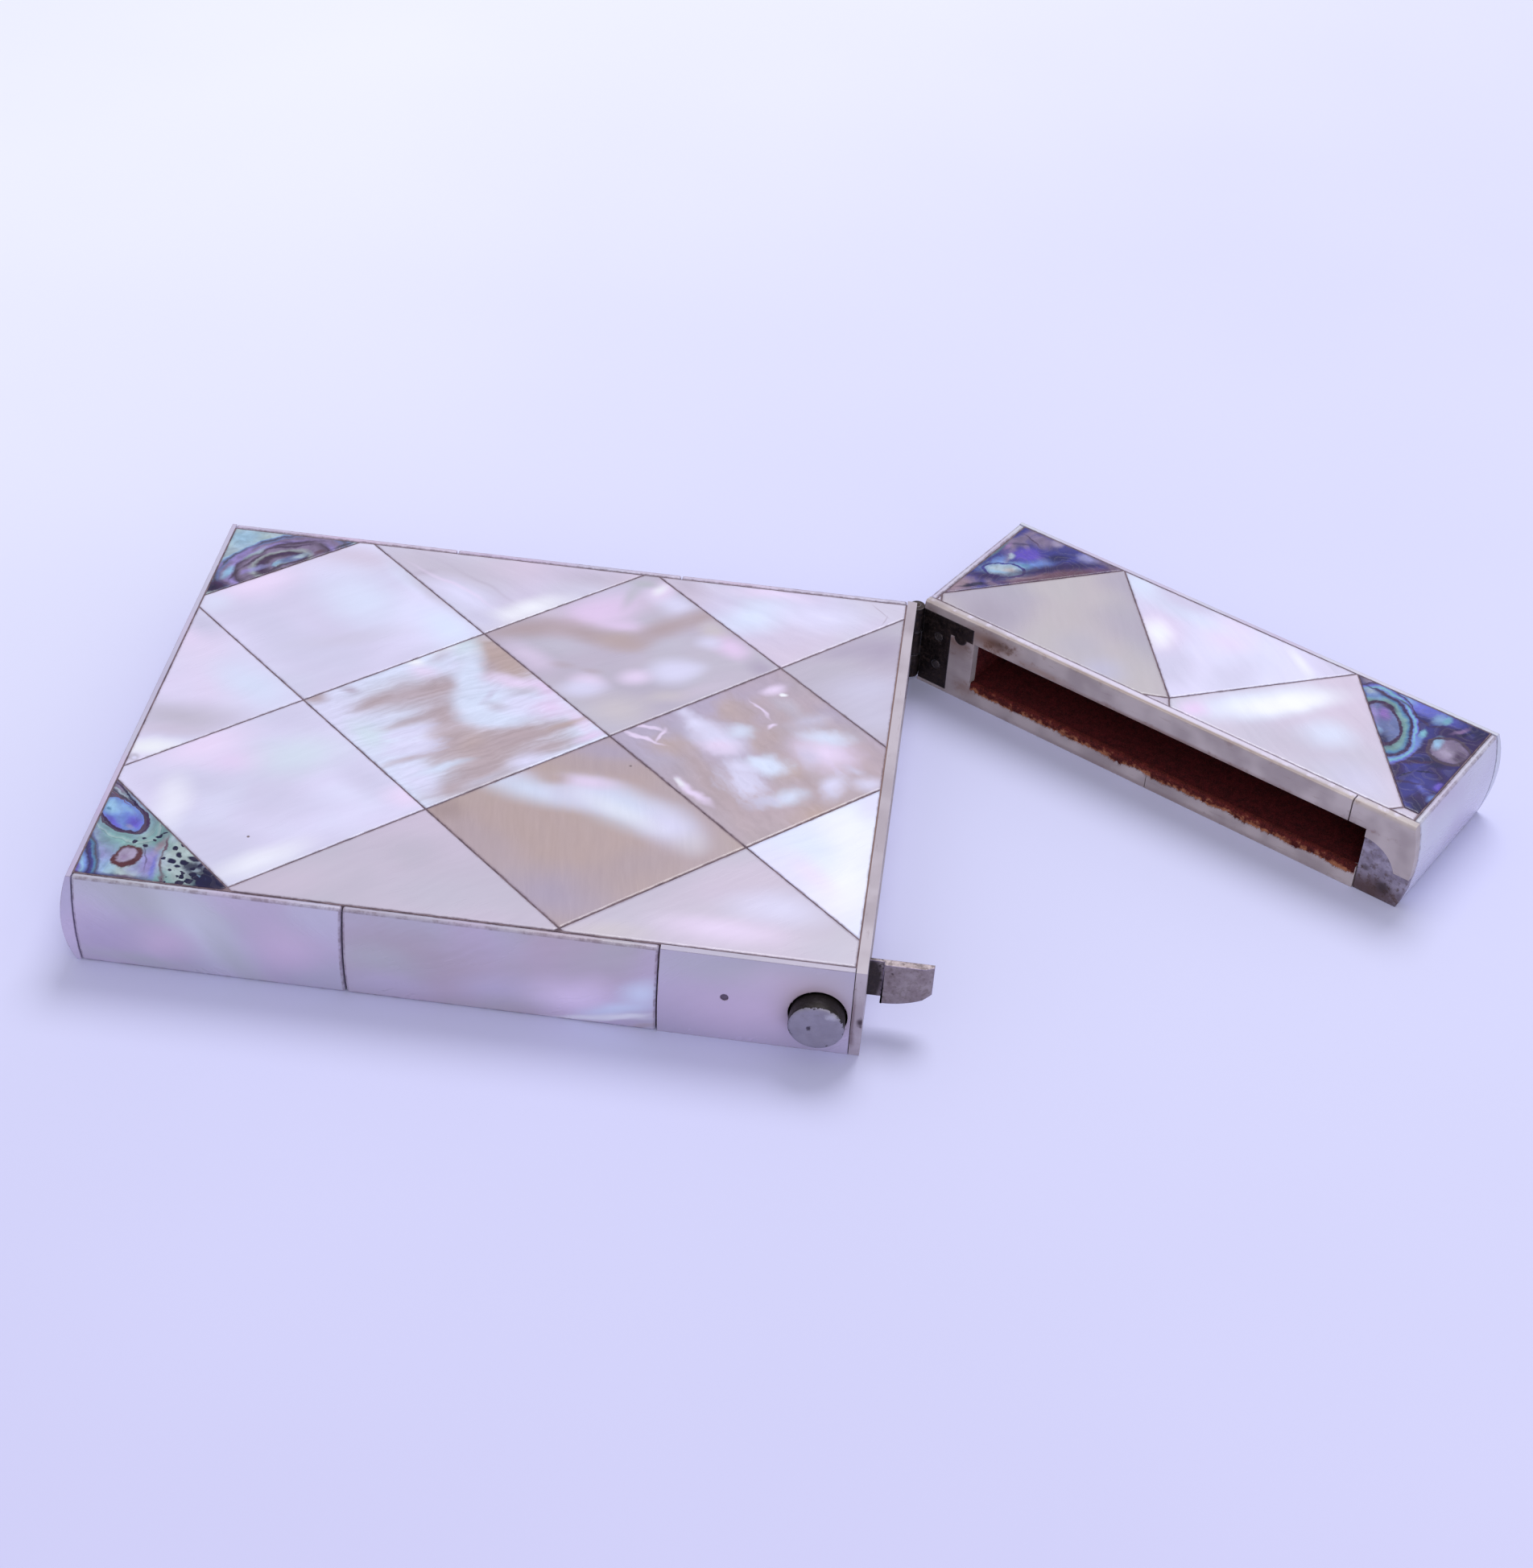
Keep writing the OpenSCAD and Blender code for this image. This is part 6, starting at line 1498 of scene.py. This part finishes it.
boneSurfaces = {body: boneMaterial(body + "Bone", spec, body == "lid") for body, spec in boneLook.items()}
for cadNode, (piece, body, mouthArris) in bonePieces.items():
    wornSolid(cadNode, piece, body, boneSurfaces[body], 0.06, fade=0.03, rounded=True,
              mouthArris=mouthArris)

cementLook = {
    "dark": (88, 70, 84),
    "light": (128, 108, 120),
    "patches": [
        # tan glue showing along the two rims
        (39.3, 0, 0.16, 32, 0, (140, 112, 108), 0.8, 0.5),
        (41.7, 0, 0.2, 32, 0, (178, 166, 186), 1, 0.5),
    ],
}

woods = {
    "caseWood": ("case_top_board", "case_floor_board", "case_hinge_rail", "case_catch_rail", "case_end_rail"),
    "lidWood": ("lid_top_board", "lid_floor_board", "lid_end_rail", "lid_side_blocks"),
}


def dressNode(nodeName, material):
    # a CAD node that keeps its own mesh
    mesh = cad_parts[nodeName].data
    if not mesh.materials:
        mesh.materials.append(material)
    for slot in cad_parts[nodeName].material_slots:
        slot.material = material


for name, nodeNames in woods.items():
    material = woodMaterial(name, name == "lidWood")
    for nodeName in nodeNames:
        dressNode(nodeName, material)
dressNode("case_cement", cementMaterial("caseCement", cementLook))
dressNode("lid_cement", cementMaterial("lidCement", cementLook, True))
print("card case: bone, cement and wood done")

# metal parts

metalLook = {
    "leafMetal": {
        "bright": (60, 50, 50), "tarnish": (36, 30, 32), "dirt": (62, 42, 36), "dirtAmount": 0.6,
        "rough": 0.42, "metallic": 0.85, "seed": 3, "edgeHighlight": 0.35, "edgeHighlightColour": (120, 116, 126),
    },
    "bushMetal": {
        "bright": (74, 66, 62), "tarnish": (44, 36, 34), "dirt": (40, 30, 26), "dirtAmount": 0.8,
        "rough": 0.5, "metallic": 0.7, "seed": 7,
    },
    "pinMetal": {
        "bright": (116, 102, 122), "tarnish": (92, 78, 98), "dirt": (74, 60, 74), "dirtAmount": 0.6,
        "rough": 0.5, "metallic": 0.4, "seed": 9,
    },
    "rivetMetal": {
        "bright": (120, 112, 112), "tarnish": (80, 72, 72), "dirt": (50, 40, 38), "dirtAmount": 0.5,
        "rough": 0.4, "metallic": 0.9, "seed": 11,
    },
    "strikeMetal": {
        "bright": (168, 160, 178), "tarnish": (134, 124, 140), "dirt": (84, 66, 66), "dirtAmount": 0.5,
        "rough": 0.45, "metallic": 0.6, "seed": 15, "scale": 1.3,
        "patches": [
            (40.7, -28, 0.8, 1.4, 6, 2.6, 0, (96, 72, 70), 0.9, 0.8),
            (40.7, -29.6, 1.8, 1.4, 1.2, 1.2, 0, (60, 46, 48), 0.8, 0.7),
            (40.7, -27.2, 3.4, 1.4, 0.7, 0.6, 0, (70, 54, 56), 0.7, 0.7),
        ],
    },
    "buttonMetal": {
        "bright": (148, 143, 162), "tarnish": (140, 135, 154), "dirt": (104, 94, 106), "dirtAmount": 0.1,
        "rough": 0.42, "metallic": 0.5, "seed": 19, "scale": 1.2, "scratch": (0.4, 1, 2), "pitAmount": 0.04,
        "patches": [
            # the two dark bands paint shade and tarnish on the side of the button's head
            (36, -32.7, 5.7, 12, 0.9, 12, 0, (34, 28, 28), 1, 0.12),
            (36, -33.64, 5.7, 12, 0.48, 12, 0, (34, 28, 28), 1, 0.12),
            # a painted highlight at the upper right of the face
            (37.5, -34.4, 7.5, 0.8, 0.5, 0.5, 0, (190, 188, 206), 0.8, 0.9),
            (35.3, -34.3, 5.75, 0.28, 0.5, 0.36, 0, (62, 54, 72), 0.95, 0.5),
        ],
    },
    "springMetal": {
        "bright": (158, 146, 152), "tarnish": (138, 124, 130), "dirt": (76, 62, 64), "dirtAmount": 0.35,
        "rough": 0.4, "metallic": 0.6, "seed": 23, "scale": 1.4, "edgeHighlight": 0.4,
        "edgeHighlightColour": (140, 130, 170),
        "patches": [
            # painted shade on the hook's recessed neck
            (40.8, -26.3, 5.7, 1.35, 2, 4, 0, (46, 38, 40), 0.95, 0.3),
            (42.9, -26.7, 7.3, 0.18, 0.6, 0.18, 0, (70, 58, 62), 0.8, 0.5),
        ],
    },
}

metals = {}


def metal(kind, onLid=False):
    key = kind + ("Lid" if onLid else "")
    if key not in metals:
        metals[key] = metalMaterial(key, metalLook[kind], onLid)
    return metals[key]


wornSolid("case_hinge_leaf", "caseHingeLeaf", "case", metal("leafMetal"), 0.06)
wornSolid("lid_hinge_leaf", "lidHingeLeaf", "lid", metal("leafMetal", True), 0.06)
wornSolid("hinge_pin", "hingePin", "case", metal("leafMetal"), 0.05)
wornSolid("spring_rivet", "springRivet", "case", metal("pinMetal"), 0.05)
wornSolid("button_bush", "buttonBush", "case", metal("bushMetal"), 0.05)
wornSolid("case_hinge_rivets", "caseHingeRivets", "case", metal("rivetMetal"), 0.05)
wornSolid("lid_hinge_rivets", "lidHingeRivets", "lid", metal("rivetMetal", True), 0.05)
wornSolid("strike_plate", "strikePlate", "lid", metal("strikeMetal", True), 0.06)
wornSolid("catch_spring", "catchHook", "catch", metal("springMetal"), 0.1, 3)

buttonTurning = {
    "centre": (36.0, 5.7),
    # radius and place across the case of each point of the turned profile, face to nib
    "profile": [
        (0, -34.3), (0.9, -34.3), (1.7, -34.28), (2.35, -34.24), (2.6, -34.19), (2.76, -34.1),
        (2.84, -33.98), (2.85, -33.8), (2.85, -33.4), (2.82, -32.6), (2.78, -32.05), (2.7, -32),
        (1.65, -32), (1.6, -31.9), (1.6, -28.22), (2.15, -28.2), (2.2, -28.12), (2.2, -27.68),
        (2.15, -27.6), (1.6, -27.58), (1.6, -26.62), (1.52, -26.56), (0.5, -26.55), (0.42, -26.27),
        (0, -26.25),
    ],
    "sides": 72,
    "wornBefore": -34.2,  # the face lies before this place across the case
    "wear": 0.02,  # mm
}


def turnedButton():
    look = buttonTurning
    x0, z0 = look["centre"]
    sides = look["sides"]
    bm = bmesh.new()
    rings = []
    for radius, y in look["profile"]:
        if radius == 0:
            rings.append([bm.verts.new((x0 * mm, y * mm, z0 * mm))] * sides)
            continue
        ring = []
        for k in range(sides):
            a = 2 * math.pi * k / sides
            out, up = radius * math.cos(a), radius * math.sin(a)
            dent = 0.0
            if y < look["wornBefore"]:
                dent = look["wear"] * (1 + noise.noise(Vector((out, up, 2.0))))
            ring.append(bm.verts.new(((x0 + out) * mm, (y + dent) * mm, (z0 + up) * mm)))
        rings.append(ring)
    for a, b in zip(rings, rings[1:]):
        stitchRings(bm, a, b, True)
    bmesh.ops.recalc_face_normals(bm, faces=bm.faces)
    mesh = meshFrom(bm, "pushButton", 50, True)
    finishPiece(mesh, "pushButton", "button", metal("buttonMetal"), ("push_button",))


turnedButton()
print("card case: metal parts done")

# velvet linings

velvetLook = {
    "dark": srgb(46, 10, 18),
    "light": srgb(82, 20, 28),
    "tip": srgb(136, 50, 46),
    "cell": 1.1,
    "pileStray": 0.06,
    "hairLength": 0.42,
    "hairLean": 0.3,
    "hairRadius": 0.022,
    "hairDensity": 16.0,
    "seed": 4,
    "tilt": 0.45,  # radians that a hair leans at most
    "lip": 0.72,  # mm that the lid's worn lining reaches out over its rim
    "hookSide": -24.2,  # the catch hook works on this side of it, so no long pile stands there
    "pileDepth": 4.0,  # mm in from the mouth that long pile stands
}

fringeLook = {
    "dark": srgb(54, 14, 20),
    "light": srgb(92, 28, 30),
    "tip": srgb(150, 66, 50),
    # a painted highlight on the lower, hanging tips
    "tipHighlight": srgb(170, 112, 82),
    "hairLength": 0.36,
    "hairLean": 0.03,
    "hairRadius": 0.013,
    "hairDensity": 90.0,
    "seed": 9,
    "spread": 0.6,  # how far the hanging hairs spread along the mouth
    "droop": (0.6, 1.3),  # least and most mm that it hangs down the front of the rim
    "steps": 420,
    "margin": 0.35,  # mm left free at each end of the mouth
    "lift": 0.03,
    "profile": [
        # x from the rim's front and height over its floor in mm, shares of the lift and the droop, wear,
        # which also sets the painted highlight on the hanging tips
        (0.5, 0.14, 1, 0, 0.2), (0.1, 0.12, 1, 0, 0.25), (-0.03, 0, 0, 0, 0.35), (-0.035, 0, 0, 0.5, 0.6),
        (-0.035, 0, 0, 1, 1.0), (-0.008, 0, 0, 1, 1.0), (-0.008, 0.02, 0, 0, 0.0), (0.5, 0.02, 0, 0, 0.0),
    ],
}


def velvetLining(nodeName, pieceName, body):
    # the CAD sleeve cut into small cells, its inner faces ruffled like worn pile
    look = velvetLook
    onLid = body == "lid"
    cell = look["cell"] * mm
    bm = mergedCopy(nodeName)
    turn = closedTurn(onLid)
    bmesh.ops.transform(bm, matrix=turn, verts=bm.verts)
    xs, ys = [v.co.x for v in bm.verts], [v.co.y for v in bm.verts]
    low, high = Vector((min(xs), min(ys), 0)), Vector((max(xs), max(ys), 0))
    for axis, normal in enumerate((Vector((1, 0, 0)), Vector((0, 1, 0)))):
        at = low[axis] + cell
        while at < high[axis] - 0.3 * cell:
            geom = bm.verts[:] + bm.edges[:] + bm.faces[:]
            bmesh.ops.bisect_plane(bm, geom=geom, plane_co=normal * at, plane_no=normal)
            at += cell
    bm.normal_update()
    middle = Vector(((low.x + high.x) / 2, (low.y + high.y) / 2, caseSizes["thickness"] / 2 * mm))
    mouthX = low.x if onLid else high.x
    mouthLayer = bm.verts.layers.float.new("mouth")
    for vert in bm.verts:
        atMouth = abs(vert.co.x - mouthX) < 0.01 * mm
        nearWall = min(vert.co.y - low.y, high.y - vert.co.y) < 0.4 * mm
        if vert.normal.dot(vert.co - middle) < 0:
            stray = 0.5 + 0.5 * noise.noise(vert.co * 900)
            vert.co += vert.normal * look["pileStray"] * mm * stray
            if not (onLid and vert.co.y < look["hookSide"] * mm):
                vert[mouthLayer] = max(0.0, 1.0 - abs(vert.co.x - mouthX) / (look["pileDepth"] * mm))
        if onLid and atMouth and not nearWall and vert.co.z < middle.z:
            # worn pile lies out over the floor of the rim
            reach = 0.85 + 0.3 * noise.noise(Vector((0, vert.co.y * 700, 3.0)))
            vert.co.x -= look["lip"] * mm * min(reach, 1.0)
            vert.co.z += 0.01 * mm
    bmesh.ops.transform(bm, matrix=turn.inverted(), verts=bm.verts)
    material = velvetMaterial(pieceName, look, onLid)
    mesh = meshFrom(bm, pieceName, 50, True)
    lining = finishPiece(mesh, pieceName, body, material, (nodeName,))
    fibres = [velvetPile(lining, pieceName + "Pile", body, material, look, "mouth")]
    if onLid:
        fibres += wornFringe(turn, low.y, high.y)


def wornFringe(turn, fromY, toY):
    # a ragged lip of worn velvet that lies over the rim's floor and hangs a little down its front
    look = fringeLook
    front, floorZ = caseSizes["lidX"], caseSizes["wall"]
    least, most = look["droop"]
    margin, steps = look["margin"], look["steps"]
    bm = bmesh.new()
    layer = bm.verts.layers.float.new("fringe")
    rows = []
    for k in range(steps + 1):
        y = fromY / mm + margin + (toY - fromY - 2 * margin * mm) / mm * k / steps
        wide = 0.5 + 0.9 * noise.noise(Vector((0.0, y * 0.35, 2.0)))
        ragged = 0.5 + 0.8 * noise.noise(Vector((4.0, y * 2.6, 1.0)))
        droop = least + (most - least) * min(max(0.6 * wide + 0.4 * ragged, 0.0), 1.0)
        lift = look["lift"] * noise.noise(Vector((y * 1.7, 0.0, 5.0)))
        row = []
        for out, up, lifted, hung, wear in look["profile"]:
            z = floorZ + up + lift * lifted - droop * hung
            vert = bm.verts.new(turn.inverted() @ Vector(((front + out) * mm, y * mm, z * mm)))
            vert[layer] = wear
            row.append(vert)
        rows.append(row)
    for a, b in zip(rows, rows[1:]):
        stitchRings(bm, a, b, True)
    bm.faces.new(rows[0][::-1])
    bm.faces.new(rows[-1])
    bmesh.ops.recalc_face_normals(bm, faces=bm.faces[:])
    material = velvetMaterial("wornFringe", look, True)
    mesh = meshFrom(bm, "lidVelvetFringe", 60, True)
    lip = finishPiece(mesh, "lidVelvetFringe", "lid", material)
    down, along = Vector((0.0, 0.0, -1.0)), turn.inverted().to_3x3() @ Vector((0.0, 1.0, 0.0))
    return [lip, velvetPile(lip, "lidVelvetFringePile", "lid", material, look, "fringe", (down, along))]


def hairMesh(look):
    # one short bent fibre
    bm = bmesh.new()
    rings = []
    most, length = look["hairLean"], look["hairLength"]
    for up, lean, size in ((0.0, 0.0, 1.0), (0.5, most / 4, 0.8), (1.0, most, 0.15)):
        ring = []
        for s in range(3):
            a = 2 * math.pi * s / 3
            r = look["hairRadius"] * size
            place = Vector((lean * length + r * math.cos(a), r * math.sin(a), up * length))
            ring.append(bm.verts.new(place * mm))
        rings.append(ring)
    for a, b in zip(rings, rings[1:]):
        stitchRings(bm, a, b, True)
    bm.faces.new(rings[0][::-1])
    bm.faces.new(rings[-1])
    return meshFrom(bm, "fibre")


def velvetPile(lining, pieceName, body, material, look, layer, hang=None):
    # fibres where the lining's layer says so; they stand up, or hang one way and lean along another
    group = bpy.data.node_groups.new(pieceName, "GeometryNodeTree")
    sockets = {}
    for name, kind in (("Geometry", "Geometry"), ("Density", "Float"), ("Seed", "Int"), ("Fibre", "Object")):
        sockets[name] = group.interface.new_socket(name, in_out="INPUT", socket_type="NodeSocket" + kind)
    group.interface.new_socket("Geometry", in_out="OUTPUT", socket_type="NodeSocketGeometry")
    given = group.nodes.new("NodeGroupInput").outputs
    named = addNode(group, "GeometryNodeInputNamedAttribute", {"Name": layer}, data_type="FLOAT")
    crowd = maths(group, "MULTIPLY", named.outputs["Attribute"], given["Density"])
    points = addNode(group, "GeometryNodeDistributePointsOnFaces", {
        "Mesh": given["Geometry"], "Density": crowd, "Seed": given["Seed"]}, distribute_method="RANDOM")
    info = addNode(group, "GeometryNodeObjectInfo", {"Object": given["Fibre"]})
    if hang is None:
        tilt = look["tilt"]
        spin = addNode(group, "FunctionNodeRandomValue", {
            "Min": (-tilt, -tilt, -3.14), "Max": (tilt, tilt, 3.14), "Seed": given["Seed"],
        }, data_type="FLOAT_VECTOR")
        turned = addNode(group, "FunctionNodeRotateEuler", {
            "Rotation": points.outputs["Rotation"], "Rotate By": spin.outputs["Value"]}, space="LOCAL")
    else:
        spread = look["spread"]
        spin = addNode(group, "FunctionNodeRandomValue", {
            2: -spread, 3: spread, "Seed": given["Seed"]}, data_type="FLOAT")
        way = vectorMaths(group, "SCALE", hang[1], scale=spin.outputs[1])
        way = vectorMaths(group, "ADD", way, hang[0])
        turned = addNode(group, "FunctionNodeAlignRotationToVector", {"Vector": way}, axis="Z")
    size = addNode(group, "FunctionNodeRandomValue", {
        2: 0.55, 3: 1.25, "Seed": given["Seed"]}, data_type="FLOAT")
    placed = addNode(group, "GeometryNodeInstanceOnPoints", {
        "Points": points.outputs["Points"], "Instance": info.outputs["Geometry"],
        "Rotation": turned.outputs[0], "Scale": size.outputs[1]})
    real = addNode(group, "GeometryNodeRealizeInstances", {"Geometry": placed.outputs["Instances"]})
    dressed = addNode(group, "GeometryNodeSetMaterial", {
        "Geometry": real.outputs["Geometry"], "Material": material})
    addNode(group, "NodeGroupOutput", {"Geometry": dressed.outputs["Geometry"]})

    fibre = bpy.data.objects.new("fibre", hairMesh(look))
    bed = sceneObject("pileBed", lining.data.copy())
    modifier = bed.modifiers.new("pile", "NODES")
    modifier.node_group = group
    modifier[sockets["Density"].identifier] = look["hairDensity"] * 1e6
    modifier[sockets["Seed"].identifier] = look["seed"]
    modifier[sockets["Fibre"].identifier] = fibre
    seen = bed.evaluated_get(bpy.context.evaluated_depsgraph_get())
    mesh = bpy.data.meshes.new_from_object(seen)
    mesh.name = pieceName
    bpy.data.objects.remove(bed)
    bpy.data.objects.remove(fibre)
    return finishPiece(mesh, pieceName, body, material)


velvetLining("case_lining", "caseVelvet", "case")
velvetLining("lid_lining", "lidVelvet", "lid")
print("card case: velvet linings laid")
